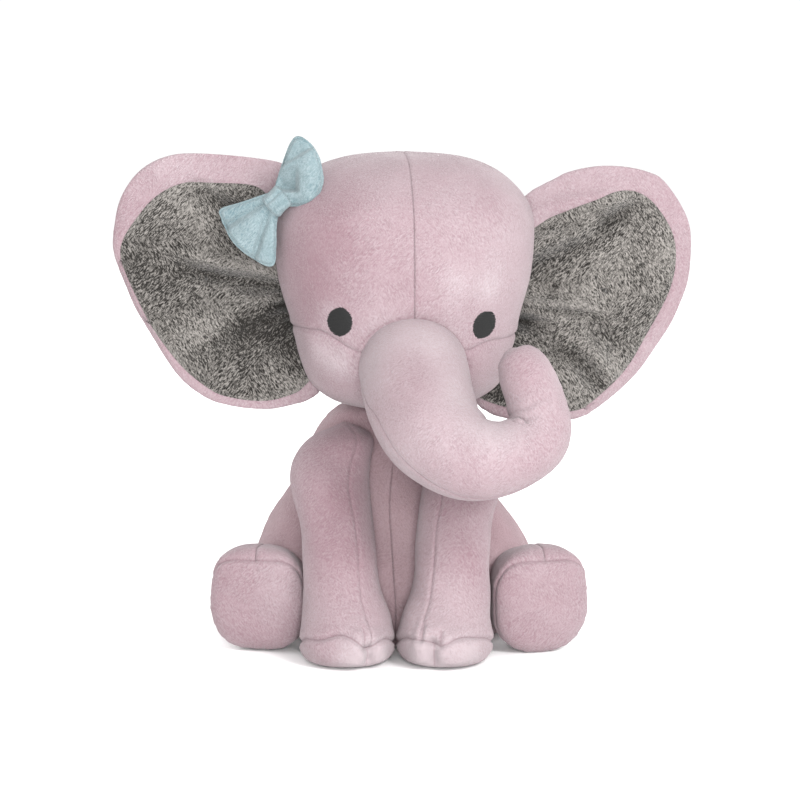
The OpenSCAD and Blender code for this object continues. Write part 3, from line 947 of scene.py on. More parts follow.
def between(points):
    """A thin pad between a flat cover's two faces, as a closed grid."""
    middle = points[[0, -1]].mean((0, 1))
    lines = []
    for line in points[:, ::2].transpose(1, 0, 2):
        far = np.hypot(line[:, 0] - middle[0], line[:, 2] - middle[2])
        edge = far.argmax()
        steps = np.linspace(0.06, 0.90, 30) * far[edge]
        faces = [np.stack([np.interp(steps, f, p[:, k]) for k in range(3)], axis=-1)
                 for f, p in ((far[:edge + 1], line[:edge + 1]),
                              (far[edge:][::-1], line[edge:][::-1]))]
        centre, half = (faces[0] + faces[1]) / 2, (faces[0] - faces[1]) * 0.2
        lines.append(np.concatenate([centre + half, (centre - half)[::-1]]))
    return np.stack(lines, axis=1)


def reach_at(points, heights, side):
    """Lowest and highest distance from the middle plane near each height."""
    near = np.abs(points[..., 2].reshape(-1, 1) - heights) < 3 * MM
    out = (points[..., 0] * side).reshape(-1, 1)
    return (np.where(near, out, 1.0).min(0), np.where(near, out, -1.0).max(0))


def tucked(points, side):
    """The ear with its root pushed into the slot in the head's seam."""
    low, high = points[..., 2].min(), points[..., 2].max()
    heights = np.linspace(low + 4 * MM, high - 4 * MM, 40)
    root = points[..., 1].reshape(-1)[np.argmin((points[..., 0] * side).reshape(-1))]
    beside = head.grid[np.abs(head.grid[..., 1] - root) < 14 * MM]
    edge = reach_at(points, heights, side)[0]
    skin = np.maximum(reach_at(beside, heights, side)[1], 20 * MM)
    push = np.clip(edge - skin + 13 * MM, 0, 25 * MM)
    push = np.convolve(np.pad(push, 2, mode="edge"), np.ones(5) / 5, mode="valid")
    here = np.interp(points[..., 2], heights, push)
    start = np.interp(points[..., 2], heights, edge)
    share = 1 - ease(points[..., 0] * side - start, 0, 30 * MM)
    return points - (here * share)[..., None] * np.array([side, -0.2, 0])


for side, name, rims in ((1, "left", (10.5, 8, 5)), (-1, "right", (13, 1.5, 4.5))):
    nodes = [f"ear_{part}_{name}" for part in ("back", "lining")]
    row = round(EAR_SEAM * (EAR_HIGH - 1))
    shape = ear_shape_for(EAR_OUTLINES[side], *rims)

    def on_head(turn, up, shape=shape, side=side):
        return turned(shape(turn, up), HEAD_TURN * side)

    ear = blown(on_head, EAR_HIGH, EAR_WIDE, nodes, rows=(EAR_SEAM,), cap=1.6,
                coarse=(40, 60), side=side, free_ends=True)
    out, up = ear_local(ear, side)
    front = np.zeros(out.shape)
    front[row:] = 1.0
    front = front * ease(np.arange(EAR_HIGH)[:, None] / EAR_HIGH, EAR_SEAM, EAR_SEAM + 0.08)
    angle = np.arctan2(up + 8, out + 14)
    reach = np.hypot(up + 8, out + 14)
    near = np.exp(-np.maximum(reach - 16, 0) / 22) * ease(reach, 4, 14)
    pleat = np.sin(8 * angle + 0.8 * side) + 0.6 * np.sin(13 * angle + 2.0)
    forward = near * pleat * 3.0
    # shade is painted shade: it lightens and darkens the lining along the pleats.
    shade = near * pleat * 0.12
    for slope, start, depth, width, seed in FOLDS[side]:
        ray = (up - start - slope * out) / math.hypot(1, slope)
        fold = np.exp(-(ray / width) ** 2) - 0.6 * np.exp(-((ray - 1.7 * width) / width) ** 2)
        fold *= ease(out, -6, 4) * (1 - ease(out, 16 + 8 * seed, 40 + 10 * seed))
        forward -= 1.4 * depth * fold
        # Painted shade in the crease of each fold.
        shade -= 0.30 * fold
    far = np.linalg.norm(ear.grid - ear.grid[[0, -1]].mean((0, 1)), axis=-1)
    forward *= 1 - ease(far / far.max(axis=0), 0.68, 0.95)
    ear.lumps(0.8 * MM, 30 * MM, 4.0 + side)
    ear.seam(ear.ring(row, 3), depth=0.5 * MM, width=1.3 * MM, pucker=0.3 * MM,
             pitch=6 * MM, seed=side + 3.0, tint=0.12)
    # Painted shade on the grey lining: the pleat and fold shade above, darker near the root where
    # the head shades it, and darker over the whole right ear, which is turned from the key light.
    ear.nap += front * (shade - 0.35 * np.exp(-np.maximum(out, 0) / 9) - 0.12 * (side < 0))
    points = ear.done()
    points = tucked(points, side) - forward[..., None] * np.array([0, MM, 0])
    root_x = abs(span(*nodes)[0][0] if side > 0 else span(*nodes)[1][0])
    middle = points.mean((0, 1))
    start, end = (Vector((side * (root_x + out), middle[1], middle[2]))
                  for out in (6 * MM, 24 * MM))
    bend = ("head", f"ear_{name}", start, end)
    sew_panels(ear, points, pink, bend, "pink_plush", 0.5, (nodes[0], (0, row), None))
    sew_panels(ear, points, grey, bend, "grey_plush", 0.5,
               (nodes[1], (row, EAR_HIGH - 1), None))
    piece = place(f"ear_batting_{name}_fibre", closed_mesh("batting", between(points)), filling)
    sew(piece, bend, "fibre_filling", 0.4, f"ear_batting_{name}")
    print("ear", name, "bends from", [round(c, 3) for c in start])


# %% [markdown]
# ## Body
#
# The body is a pear that sits flat: four long panels, sewn at the front, back and sides,
# close on a round seat. Its weight rests on the seat, so the cloth bulges just above the
# floor. The neck goes up inside the head, where it is sewn to the crown's lower edge.

# %% Body cover
BODY_ROWS = [
    [0, 0, 0.5, 1, 1], [0, 0, 0.3, 26, 25], [0, 0, 0.4, 47, 46], [0, 0, 2.2, 57, 54.5],
    [0, 0, 9, 65.5, 55.7], [0, 1, 22, 71, 58], [-1, 2, 38, 70.5, 57], [-2, 4, 54, 64, 52],
    [-3, 5, 70, 53.5, 46.5], [-2, 4, 86, 45.5, 40.5], [0, -1, 101, 42, 36],
    [0, -5, 111, 36, 30], [0, -9, 118, 30, 26], [0, -12, 124, 20, 18],
]
BODY_HIGH, BODY_WIDE = 183, 288
SEAT_ROW = 28


def body_shape(turn, up):
    return upright(BODY_ROWS, turn, up, 0.95)


BODY_NODES = ("chest_panel_left", "chest_panel_right", "back_panel_left", "back_panel_right",
              "seat_panel")


def raised(grid):
    """The neck stands a little above its node, inside the head."""
    grid = grid.copy()
    share = (grid[..., 2] - grid[..., 2].min()) / np.ptp(grid[..., 2])
    grid[..., 2] += 5 * MM * share
    return grid


body = blown(body_shape, BODY_HIGH, BODY_WIDE, BODY_NODES, seams=(0.0, BACK, 0.5, FRONT),
             cap=1.6, coarse=(44, 64), after=raised)
body.lumps(0.9 * MM, 34 * MM, 6.0)
# Painted light: the front of the body is made lighter, where the chest between the legs lies in
# shade.
body.nap += 0.3 * ease(-body.grid[..., 1], 20 * MM, 40 * MM)
for column, seed, tint in ((FRONT_COLUMN, 1.0, 0.25), (BACK_COLUMN, 2.0, 0.4), (0, 3.0, 0.4),
                           (BODY_WIDE // 2, 4.0, 0.4)):
    body.seam(body.grid[SEAT_ROW:, column][::4], seed=seed, tint=tint)
body.seam(body.ring(SEAT_ROW, 4), depth=0.8 * MM, width=1.2 * MM, pucker=0.0, tint=0.6)
body_points = standing(body, press=0.2 * MM)
WALL_ROWS = (SEAT_ROW, BODY_HIGH - 1)
RIGHT_COLUMN = BODY_WIDE // 2
sew_panels(body, body_points, body_pink_nap_and_shade, "torso", "body_plush", 0.75,
           ("chest_panel_left", WALL_ROWS, (FRONT_COLUMN, 0)),
           ("chest_panel_right", WALL_ROWS, (RIGHT_COLUMN, FRONT_COLUMN)),
           ("back_panel_left", WALL_ROWS, (0, BACK_COLUMN)),
           ("back_panel_right", WALL_ROWS, (BACK_COLUMN, RIGHT_COLUMN)),
           ("seat_panel", (0, SEAT_ROW), None))


def print_box(what, points):
    print(what, "box", np.round(points.min((0, 1)), 3), np.round(points.max((0, 1)), 3))


print_box("body cover", body_points)


# %% [markdown]
# ## Front legs
#
# A front leg is an outer and an inner panel that meet in a seam down the front and one
# up the back, with a sole that turns up over the toes. One hard-pulled stitch splits the
# turned-up edge into two toes. The left foot's seam is level with a small notch; the
# right one rises to a peak first, as hand-guided sewing leaves it.

# %% Front leg covers
FRONT_LEG_ROWS = [
    [24, -79, 0.6, 2, 2], [24, -79, 0.5, 12, 12.5], [24, -79, 1.4, 19, 20],
    [24, -79, 5, 22.3, 23.2], [24, -79, 12, 23, 24.4], [24.5, -77, 22, 21.4, 21.6],
    [26.5, -73, 33, 19.3, 19.8], [27.5, -68.5, 46, 18.4, 19.1], [29, -60, 64, 18.4, 18.9],
    [32.5, -53, 80, 19.3, 18.9], [35, -47.5, 95, 19.3, 18.4], [34.5, -46.5, 106, 14.5, 14.5],
    [34.5, -46.5, 112.6, 1.5, 1.5],
]
LEG_HIGH, LEG_WIDE = 201, 180
SOLE = 0.36
FRONT_SEAM, BACK_SEAM = 0.6667, 0.25
LEG_COLUMNS = (round(FRONT_SEAM * LEG_WIDE), round(BACK_SEAM * LEG_WIDE))


def leg_shape_for(toe_seam):
    def shape(turn, up):
        angle = from_front(turn)
        height = toe_seam(angle)
        return upright(FRONT_LEG_ROWS, turn, warped(up, SOLE, height), 0.95)
    return shape


def toe_line_left(angle):
    """Height of the sole's edge round the left foot, as a share of the rows."""
    front = 1 - ease(np.abs(angle), 0.9, 2.0)
    notch = 0.022 * np.exp(-((angle + 0.05) / 0.12) ** 2)
    arch = 0.016 * np.exp(-((angle - 0.45) / 0.35) ** 2)
    return 0.285 + 0.072 * front + arch - notch


def toe_line_right(angle):
    front = 1 - ease(np.abs(angle), 0.9, 2.0)
    peak = 0.030 * np.exp(-((angle + 0.12) / 0.35) ** 2)
    dip = 0.030 * np.exp(-((angle - 0.42) / 0.22) ** 2)
    return 0.285 + 0.068 * front + peak - dip


def shouldered(side):
    """The leg's top leans back and inward, where it is sewn into the neck."""
    def lean(grid):
        share = ease(grid[..., 2], 82 * MM, 114 * MM)[..., None]
        return grid + share * np.array([-9 * side, 5, -1]) * MM
    return lean


def sew_leg(kind, name, leg, points, side_rows, sole_rows, columns, root, foot, fill):
    """Sews a leg's two side panels and its sole."""
    fore, aft = columns
    leg_body = f"{kind}_leg_{name}"
    sew_panels(leg, points, pink, ("torso", leg_body, root, foot), "pink_plush", fill,
               (f"{kind}_leg_outer_{name}", side_rows, (fore, aft)),
               (f"{kind}_leg_inner_{name}", side_rows, (aft, fore)))
    sew_panels(leg, points, pink, leg_body, "pink_plush", fill,
               (f"{kind}_sole_{name}", sole_rows, None))
    print_box(f"{kind} leg {name}", points)


for side, name, toe_line, split in ((1, "left", toe_line_left, -0.05),
                                    (-1, "right", toe_line_right, 0.40)):
    nodes = [f"front_leg_outer_{name}", f"front_leg_inner_{name}", f"front_sole_{name}"]
    row = round(SOLE * (LEG_HIGH - 1))
    mirror_line = toe_line if side > 0 else (lambda angle, line=toe_line: line(-angle))
    leg = blown(leg_shape_for(mirror_line), LEG_HIGH, LEG_WIDE, nodes,
                seams=(FRONT_SEAM, BACK_SEAM), rows=(SOLE,), cap=1.3, coarse=(48, 40), side=side,
                after=shouldered(side))
    columns = [c if side > 0 else (LEG_WIDE - c) % LEG_WIDE for c in LEG_COLUMNS]
    leg.lumps(0.8 * MM, 22 * MM, 8.0 + side)
    for column, seed, tint in ((columns[0], 1.0, 0.25), (columns[1], 2.0, 0.4)):
        leg.seam(leg.grid[row:-6, column][::4], pucker=0.35 * MM, pitch=6 * MM,
                 seed=seed + side, tint=tint)
    leg.seam(leg.ring(row, 3), depth=1.1 * MM, width=1.2 * MM, pucker=0.2 * MM, seed=2.5,
             tint=0.45)
    turns = np.arange(LEG_WIDE) / LEG_WIDE

    def at_angle(angle):
        """Column at an angle from the foot's front, positive towards the toy's left."""
        column = int(np.argmin(np.abs(from_front(turns) - side * angle)))
        return column if side > 0 else (LEG_WIDE - column) % LEG_WIDE

    toe = leg.grid[10: row + 1, at_angle(split)]
    leg.seam(toe[::3], depth=3.6 * MM, width=2.6 * MM, pucker=0.0, tint=0.3)
    for offset, length in ((-0.42, 22), (0.12, 22)) if side > 0 else ((0.22, 26),):
        line = leg.grid[row: row + length, at_angle(offset)]
        leg.seam(line[::3], depth=0.9 * MM, width=1.1 * MM, pucker=0.0, tint=0.35)
    leg.swellings([leg.grid[row // 2 + 12, at_angle(split + a)] for a in (-0.42, 0.42)],
                  9 * MM, 1.6 * MM)
    leg.brush([leg.grid[row // 2 + 12, at_angle(split + a)] for a in (-0.5, 0.0, 0.5)],
              9 * MM, 0.42)
    # Painted shade: the upper leg is darkened where the head shades it, and more on the right leg,
    # which is turned from the key light.
    leg.nap -= (0.16 if side > 0 else 0.28) * ease(leg.grid[..., 2], 20 * MM, 60 * MM)
    points = standing(leg)
    shoulder = middle_of(points[round(0.80 * LEG_HIGH)])
    sew_leg("front", name, leg, points, (row, LEG_HIGH - 1), (0, row), columns[::side],
            shoulder + Vector((0, 8 * MM, 14 * MM)), shoulder - Vector((0, 4 * MM, 14 * MM)),
            0.75)


# %% [markdown]
# ## Hind legs
#
# A hind leg is a short, fat cushion that lies forward, and ends in a rounded square
# sole. Its side panels meet above and below. The sole's seam comes forward at the top,
# so that it shows on the face of the foot.

# %% Hind leg covers
HIND_LEG_ROWS = [
    [0, 0, -9, 2, 2], [0, 0, -6, 12, 13], [0, 0, 2, 18.6, 21], [0, 0, 12, 22.5, 24.5],
    [0, 0, 23, 24, 25.8], [0, 0, 29.5, 23.2, 25.2], [0, 0, 33.0, 19, 20.5], [0, 0, 34.8, 11, 12],
    [0, 0, 35.2, 2, 2],
]
HIND_HIGH, HIND_WIDE = 141, 200
HIND_SEAM = 0.60


def hind_shape_for(splay):
    def shape(turn, up):
        top = np.exp(-((np.mod(turn - 0.25 + 0.5, 1) - 0.5) / 0.17) ** 2)
        height = 0.55 + 0.205 * top
        laid = upright(HIND_LEG_ROWS, turn, warped(up, HIND_SEAM, height), 0.76)
        return turned(laid[..., [0, 2, 1]] * np.array([1, -1, 1]), splay)
    return shape


for side, name, splay in ((1, "left", 15), (-1, "right", 10)):
    nodes = [f"hind_leg_outer_{name}", f"hind_leg_inner_{name}", f"hind_sole_{name}"]
    row = round(HIND_SEAM * (HIND_HIGH - 1))
    hind = blown(hind_shape_for(splay), HIND_HIGH, HIND_WIDE, nodes, seams=(0.25, 0.75),
                 rows=(HIND_SEAM,), cap=1.3, coarse=(36, 40), side=side)
    top_column = round((0.25 if side > 0 else 0.75) * HIND_WIDE)
    low_column = round((0.75 if side > 0 else 0.25) * HIND_WIDE)
    hind.lumps(0.9 * MM, 24 * MM, 11.0 + side)
    hind.nap -= 0.14
    for column, tint in ((top_column, 0.25), (low_column, 0.4)):
        hind.seam(hind.grid[6: row + 1, column][::3], seed=1.0 + side, tint=tint)
    hind.seam(hind.ring(row, 3), depth=0.7 * MM, width=1.0 * MM, pucker=0.35 * MM, seed=3.0,
              tint=0.35)
    points = hind.done()
    points[..., 2] = np.maximum(points[..., 2], FLOOR_GAP)
    sew_leg("hind", name, hind, points, (0, row), (row, HIND_HIGH - 1),
            (low_column, top_column)[::side], middle_of(points[20]), middle_of(points[60]), 0.7)


# %% [markdown]
# ## Threads and other repeats
#
# Threads follow a path and pellets repeat a shape, which is what Geometry Nodes do
# best. Each tree has named inputs for its sizes. Its result is turned into a plain mesh,
# so that nothing is left to work out later.

# %% Geometry Nodes helpers
class Tree:
    """A geometry tree with named inputs, a material at its end, and short wiring."""

    def __init__(self, name, **inputs):
        self.tree = bpy.data.node_groups.new(name, "GeometryNodeTree")
        face = self.tree.interface
        face.new_socket("Geometry", in_out="INPUT", socket_type="NodeSocketGeometry")
        face.new_socket("Geometry", in_out="OUTPUT", socket_type="NodeSocketGeometry")
        self.names = {}
        for key, value in inputs.items():
            socket = face.new_socket(key, in_out="INPUT", socket_type="NodeSocketFloat")
            socket.default_value = value
            self.names[key] = socket.identifier
        self.given = self.tree.nodes.new("NodeGroupInput")

    def input(self, name):
        return self.given.outputs[name]

    def node(self, kind, **sockets):
        made = self.tree.nodes.new(kind)
        for key, value in sockets.items():
            socket = made.inputs[key.replace("_", " ")]
            if isinstance(value, bpy.types.NodeSocket):
                self.tree.links.new(value, socket)
            else:
                socket.default_value = value
        return made.outputs

    def end(self, geometry, material):
        real = self.node("GeometryNodeRealizeInstances", Geometry=geometry)[0]
        smoothed = self.node("GeometryNodeSetShadeSmooth", Geometry=real)[0]
        painted = self.node("GeometryNodeSetMaterial", Geometry=smoothed, Material=material)[0]
        out = self.tree.nodes.new("NodeGroupOutput")
        self.tree.links.new(painted, out.inputs[0])
        return self

    def run(self, name, points, edges=(), **values):
        """Runs the tree on points and edges, and returns its result as a plain mesh."""
        seed = bpy.data.meshes.new(name + "_path")
        seed.from_pydata([tuple(p) for p in points], list(edges), [])
        holder = added(name + "_path", seed)
        modifier = holder.modifiers.new("nodes", "NODES")
        modifier.node_group = self.tree
        for key, value in values.items():
            modifier[self.names[key]] = value
        shown = holder.evaluated_get(bpy.context.evaluated_depsgraph_get())
        mesh = bpy.data.meshes.new_from_object(shown)
        bpy.data.objects.remove(holder)
        print(" ", name, len(mesh.polygons), "faces")
        return added(name, mesh)


def lines_to_edges(lines):
    """Joins several point lists into one list of points and one of edges."""
    points, edges = [], []
    for line in lines:
        first = len(points)
        points += [tuple(p) for p in line]
        edges += [(first + i, first + i + 1) for i in range(len(line) - 1)]
    return points, edges


def thread_tree(name, material):
    tree = Tree(name, Radius=0.0002)
    path = tree.node("GeometryNodeMeshToCurve", Mesh=tree.input("Geometry"))[0]
    ring = tree.node("GeometryNodeCurvePrimitiveCircle", Resolution=6,
                     Radius=tree.input("Radius"))[0]
    tube = tree.node("GeometryNodeCurveToMesh", Curve=path, Profile_Curve=ring,
                     Fill_Caps=True)[0]
    return tree.end(tube, material)


# %% [markdown]
# ## Eyes
#
# The eyes are machine embroidery: rows of glossy black thread packed side by side over
# a low pad, so the outline is a little ragged where the thread turns. Real threads are
# laid here over a pad, since a flat black disc would have neither the ragged edge nor
# the fine glitter.

# %% Two embroidered eyes
eye_threads = thread_tree("satin_stitch", black_thread)
surface = head_points.reshape(-1, 3)
surface = surface[surface[:, 1] < head_middle[1]]


def face_depth(x, z):
    """Depth of the face's cloth at a place, from its nearest points."""
    gap = np.hypot(surface[:, 0] - x, surface[:, 2] - z)
    near = np.argsort(gap)[:9]
    table = np.column_stack([np.ones(9), surface[near, 0] - x, surface[near, 2] - z])
    return float(np.linalg.lstsq(table, surface[near, 1], rcond=None)[0][0])


def sewn_eye(name, node, half_wide, half_high, lean, seed):
    low, high = span(node)
    middle = (low + high) / 2
    c, s = math.cos(math.radians(lean)), math.sin(math.radians(lean))

    def lifted(across, up, lift):
        x = middle[0] + (across * c + up * s) * MM
        z = middle[2] + (-across * s + up * c) * MM
        return (x, face_depth(x, z) - lift * MM, z)

    rings, around = 6, 40
    points = [lifted(half_wide * r / rings * math.cos(t), half_high * r / rings * math.sin(t),
                     0.55 * (1 - (r / rings) ** 2) + (0.15 if r < rings else -0.6))
              for r in range(rings, 0, -1)
              for t in np.linspace(0, 2 * math.pi, around, endpoint=False)]
    mesh = closed_mesh(name + "_pad", np.reshape(points, (rings, around, 3)),
                       [lifted(0, 0, -1.0), lifted(0, 0, 0.7)])
    pad = place(name + "_pad", mesh, black_thread)
    random = np.random.default_rng(seed)
    lines = []
    for up in np.arange(-half_high + 0.2, half_high - 0.1, 0.31):
        reach = half_wide * math.sqrt(max(1 - (up / half_high) ** 2, 0))
        ends = reach + random.uniform(-0.15, 0.32, 2)
        tilt = random.uniform(-0.10, 0.10)
        lines.append([lifted(a * (ends[1] if a > 0 else ends[0]), up + tilt * a + 0.35 * a,
                             0.28 + 0.62 * (1 - a * a) * (1 - (up / half_high) ** 2) - 0.45 * a**6)
                      for a in np.linspace(-1, 1, 9)])
    threads = eye_threads.run(name + "_threads", *lines_to_edges(lines), Radius=0.21 * MM)
    sew(pad, "head", "eye_thread", 0.9, node)
    tag(threads, "head", "eye_thread")


sewn_eye("left_eye", "eye_left", 5.3, 6.8, 16, 4)
sewn_eye("right_eye", "eye_right", 6.0, 6.9, -9, 5)


# %% [markdown]
# ## Bow
#
# The bow is one strip of fine plush, folded into two loops and bound by a short band.
# The upper loop stands open, so that one looks down into its hollow past a rolled lip.
# The lower loop lies flat and is pinched into two pleats that open towards its hem.
# Outlines and folds are drawn, and a little cloth pressure rounds them.

# %% Bow
BOW_UPPER = [
    (-3.5, 2.0), (1.5, -2.6), (8, -2.4), (13.5, -2.0), (19.2, 1.6), (22.4, 8.6), (22.2, 15.5),
    (20.3, 22.5), (16.4, 28.4), (10.9, 31.9), (7.2, 29.4), (3.9, 21.8), (1.4, 15), (-1.2, 7),
]
BOW_LOWER = [
    (3.0, -2.5), (3.2, 2.5), (-1.5, 4.2), (-6.2, 3.3), (-17, -0.6), (-28.0, -4.4), (-27.8, -9),
    (-25.2, -15), (-20.4, -21.8), (-12.7, -28.0), (-4.6, -31.6), (-1.3, -29.5), (-0.6, -22),
    (-0.4, -14.5), (0.2, -8),
]
BOW_LEAN = -0.268
knot_low, knot_high = span("bow_knot")
knot_middle = (knot_low + knot_high) / 2 + np.array([1.0, 0, -0.5]) * MM


def far_from(a, b, line):
    """Distance in millimetres to a drawn line, for points given across and up."""
    points = np.stack([a, b], axis=-1)
    return to_line(points, np.array(line, float))[0]


BOW_HIGH, BOW_WIDE = 121, 200
BOW_HEM_ROW = 72


def bow_loop(name, node, outline, thick, folds, cap):
    rim = np.array(outline, float)
    middle = rim.mean(0)

    def shape(turn, up):
        angle = (up - 0.5) * math.pi
        size = np.maximum(np.cos(angle), 0.012)
        flat = middle + (smooth(rim, turn, closed=True) - middle) * size[..., None]
        depth = thick * np.sign(angle) * np.sqrt(np.maximum(1 - size**4, 0))
        forward = depth + folds(flat[..., 0], flat[..., 1], angle > 0)
        return np.stack([flat[..., 0], BOW_LEAN * flat[..., 0] - forward, flat[..., 1]], -1)

    def drawn(high, wide):
        turn, up = np.meshgrid(np.arange(wide) / wide, np.linspace(0, 1, high))
        return knot_middle + shape(turn, up) * MM

    rough = drawn(28, 40)
    held = np.zeros(rough.shape[:2])
    held[[0, 13, 14, -1]] = 1.0
    moved = swell(rough, held, cap=cap * MM) - rough
    cover = Cover(drawn(BOW_HIGH, BOW_WIDE) + resample(moved, BOW_WIDE, BOW_HIGH))
    cover.lumps(0.3 * MM, 12 * MM, 3.0)
    cover.seam(cover.ring(BOW_HEM_ROW, 3), depth=0.35 * MM, width=0.7 * MM, pucker=0.12 * MM,
               pitch=3 * MM, tint=0.25)
    piece = panel(name, cover, cover.done(), (0, BOW_HIGH - 1), None, aqua)
    sew(piece, "head", "bow_plush", 0.3, node)


def upper_folds(a, b, front):
    lip = ease(a, 11.5, 8.5)
    floor = ease(b, 4.2, 6.2)
    hollow = 5.5 * lip * floor * np.exp(-((b - 6) / 8.5) ** 2) * ease(a, -2, 3)
    crossing = (b - 16.9) - (a - 2.8) * 0.61
    step = 2.6 * ease(crossing, -0.3, 1.5) * np.exp(-np.maximum(crossing, 0) / 5)
    ridge = 1.1 * np.exp(-((crossing + 1.6) / 1.8) ** 2)
    roll = 1.6 * np.exp(-((a - 15 - 0.05 * b) / 4.5) ** 2)
    return np.where(front, -hollow - step * ease(a, -2, 3) + ridge + roll, -0.25 * hollow) \
        + 0.10 * b


def lower_folds(a, b, front):
    first = far_from(a, b, [(-4, 1.2), (-26.5, -13.5)])
    second = far_from(a, b, [(-3.5, -3.0), (-12.3, -29.5)])
    above = ease(b - (1.2 + (a + 4) * 0.655), 0, 3.5)
    opened = 0.35 + 0.65 * ease(np.hypot(a, b), 4, 24)
    groove = 3.4 * np.exp(-(first / 1.7) ** 2) + 3.0 * np.exp(-(second / 1.6) ** 2)
    slope = 1.6 * above * np.exp(-first / 5)
    belly = 1.3 * np.exp(-(far_from(a, b, [(-5, -2), (-21, -22)]) / 4.5) ** 2)
    return np.where(front, (belly - groove - slope) * opened, -0.4 * groove * opened) - 0.05 * b


bow_loop("bow_upper_loop", "bow_loop_upper", BOW_UPPER, 3.4, upper_folds, 0.7)
bow_loop("bow_lower_loop", "bow_loop_lower", BOW_LOWER, 2.6, lower_folds, 0.5)


def knot_shape(turn, up):
    """A band wrapped round the middle, standing across the bow's own length."""
    along = (up - 0.5) * 2
    half = 5.6 * np.sign(along) * np.abs(along) ** 0.8
    round_end = np.sqrt(np.maximum(1 - np.abs(along) ** 7, 0.0004))
    angle = 2 * math.pi * turn
    across = 6.4 * soft_power(np.cos(angle), 0.75) * round_end
    deep = 5.6 * soft_power(np.sin(angle), 0.75) * round_end
    pinch = 1 - 0.06 * np.cos(along * 2.2)
    a = half * 0.72 + across * pinch * 0.69
    b = half * 0.69 - across * pinch * 0.72
    return np.stack([a, BOW_LEAN * a + deep, b], axis=-1)


KNOT_HIGH, KNOT_WIDE = 65, 96
turn, up = np.meshgrid(np.arange(KNOT_WIDE) / KNOT_WIDE, np.linspace(0, 1, KNOT_HIGH))
knot = Cover(knot_middle + knot_shape(turn, up) * MM)
for share, depth in ((0.30, 0.7), (0.62, 0.5)):
    line = knot.grid[8:-8, round(FRONT * KNOT_WIDE) - 12 + round(share * 24)]
    knot.seam(line, depth=depth * MM, width=0.7 * MM, pucker=0.0, tint=0.2)
knot.lumps(0.25 * MM, 9 * MM, 1.0)
piece = panel("bow_band", knot, knot.done(), (0, KNOT_HIGH - 1), None, aqua)
sew(piece, "head", "bow_plush", 0.5, "bow_knot")


# %% [markdown]
# ## Tail and label
#
# The tail is a narrow tube with a tuft of longer pile sewn in its end. A blank satin
# label, folded once, is caught in the side seam at the back. It is one flat sheet, cut
# 18 mm by 24 mm, with 2 mm of each end inside the seam.

# %% Tail
TAIL_ROWS = [
    [0, -3, 1.6, 1], [0, -2, 1.1, 5.2], [0, 4, -2, 5.6], [0, 10, -5.2, 5.2], [0, 18, -9.6, 4.5],
    [0, 24.5, -13, 3.9], [0, 26.5, -14, 1],
]


def tail_shape(turn, up):
    return swept(TAIL_ROWS, turn, up, lean=(0, 0, 1))


TAIL_HIGH, TAIL_WIDE = 61, 64
tail = blown(tail_shape, TAIL_HIGH, TAIL_WIDE, ("tail_cover",), seams=(0.25,), cap=0.5,
             coarse=(16, 20))
for column in (16, 48):
    tail.seam(tail.grid[4:-4, column])
tail_points = tail.done()
along = np.arange(TAIL_HIGH) / (TAIL_HIGH - 1)
tail_points[..., 1] -= 9 * MM * (1 - ease(along, 0.20, 0.50))[:, None]
piece = panel("tail_cloth", tail, tail_points, (0, TAIL_HIGH - 1), None, pink)
bend = ("torso", "tail", middle_of(tail_points[8]), middle_of(tail_points[30]))
sew(piece, bend, "pink_plush", 0.7, "tail_cover")

TUFT_STRANDS = 420
strands = []
random = np.random.default_rng(21)
tuft_low, tuft_high = span("tail_tuft")
tuft_start = tail_points[54].mean(0)
way = unit((tuft_low + tuft_high) / 2 - tuft_start)
for _ in range(TUFT_STRANDS):
    fan = random.normal(0, 1.8, 3) * MM
    fan -= way * (fan @ way)
    fan *= min(1.0, 5.0 * MM / max(np.linalg.norm(fan), 1e-9))
    length = random.uniform(8.5, 12.5) * MM
    bend = random.normal(0, 0.5, 3) * MM
    strands.append([tuft_start + fan * (0.5 + 0.75 * t) + way * length * t + bend * t * t
                    - np.array([0, 0, 1.2]) * MM * t * t for t in np.linspace(0, 1, 5)])
tuft = thread_tree("tuft_pile", body_pink_nap_and_shade).run("tail_tuft_pile", *lines_to_edges(strands),
                                               Radius=0.38 * MM)
tag(tuft, "tail", "body_plush", "tail_tuft")

# %% Label
label_low, label_high = span("care_label")
label_middle = (label_low + label_high) / 2
half_label = 9 * MM
path = [(label_high[0] + 2 * MM - t * 12 * MM, label_middle[1] - 0.35 * MM * (1 - (2 * t - 1) ** 4)
         - 0.15 * MM) for t in np.linspace(0, 1, 13)]
path += [(label_low[0] - 0.1 * MM, label_middle[1])]
path += [(x, 2 * label_middle[1] - y) for x, y in reversed(path[:-1])]
heights = np.linspace(-half_label, half_label, 13)
wave = 0.5 * MM
grid = np.array([[(x, y + wave * math.sin(3 * h / half_label) * ease(label_high[0] - x, 0, 0.01),
                   label_middle[2] + h) for x, y in path] for h in heights])
label = place("blank_label", mesh_of("blank_label", grid, grid_faces(len(path), 13, False)),
              label_cloth)
layer = label.modifiers.new("thickness", "SOLIDIFY")
layer.thickness = 0.2 * MM
tag(label, "torso", "label_cloth", "care_label")


# %% [markdown]
# ## What is inside
#
# The covers hold loose polyester fibre, and a small bag of pellets gives the seat its
# weight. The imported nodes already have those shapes. Each is copied, given one smooth
# skin, and roughened like a tuft of fibre, so that a cut-away view shows filling rather
# than a plain solid.

# %% Filling
FIBRE_ROUGHNESS = 0.9 * MM


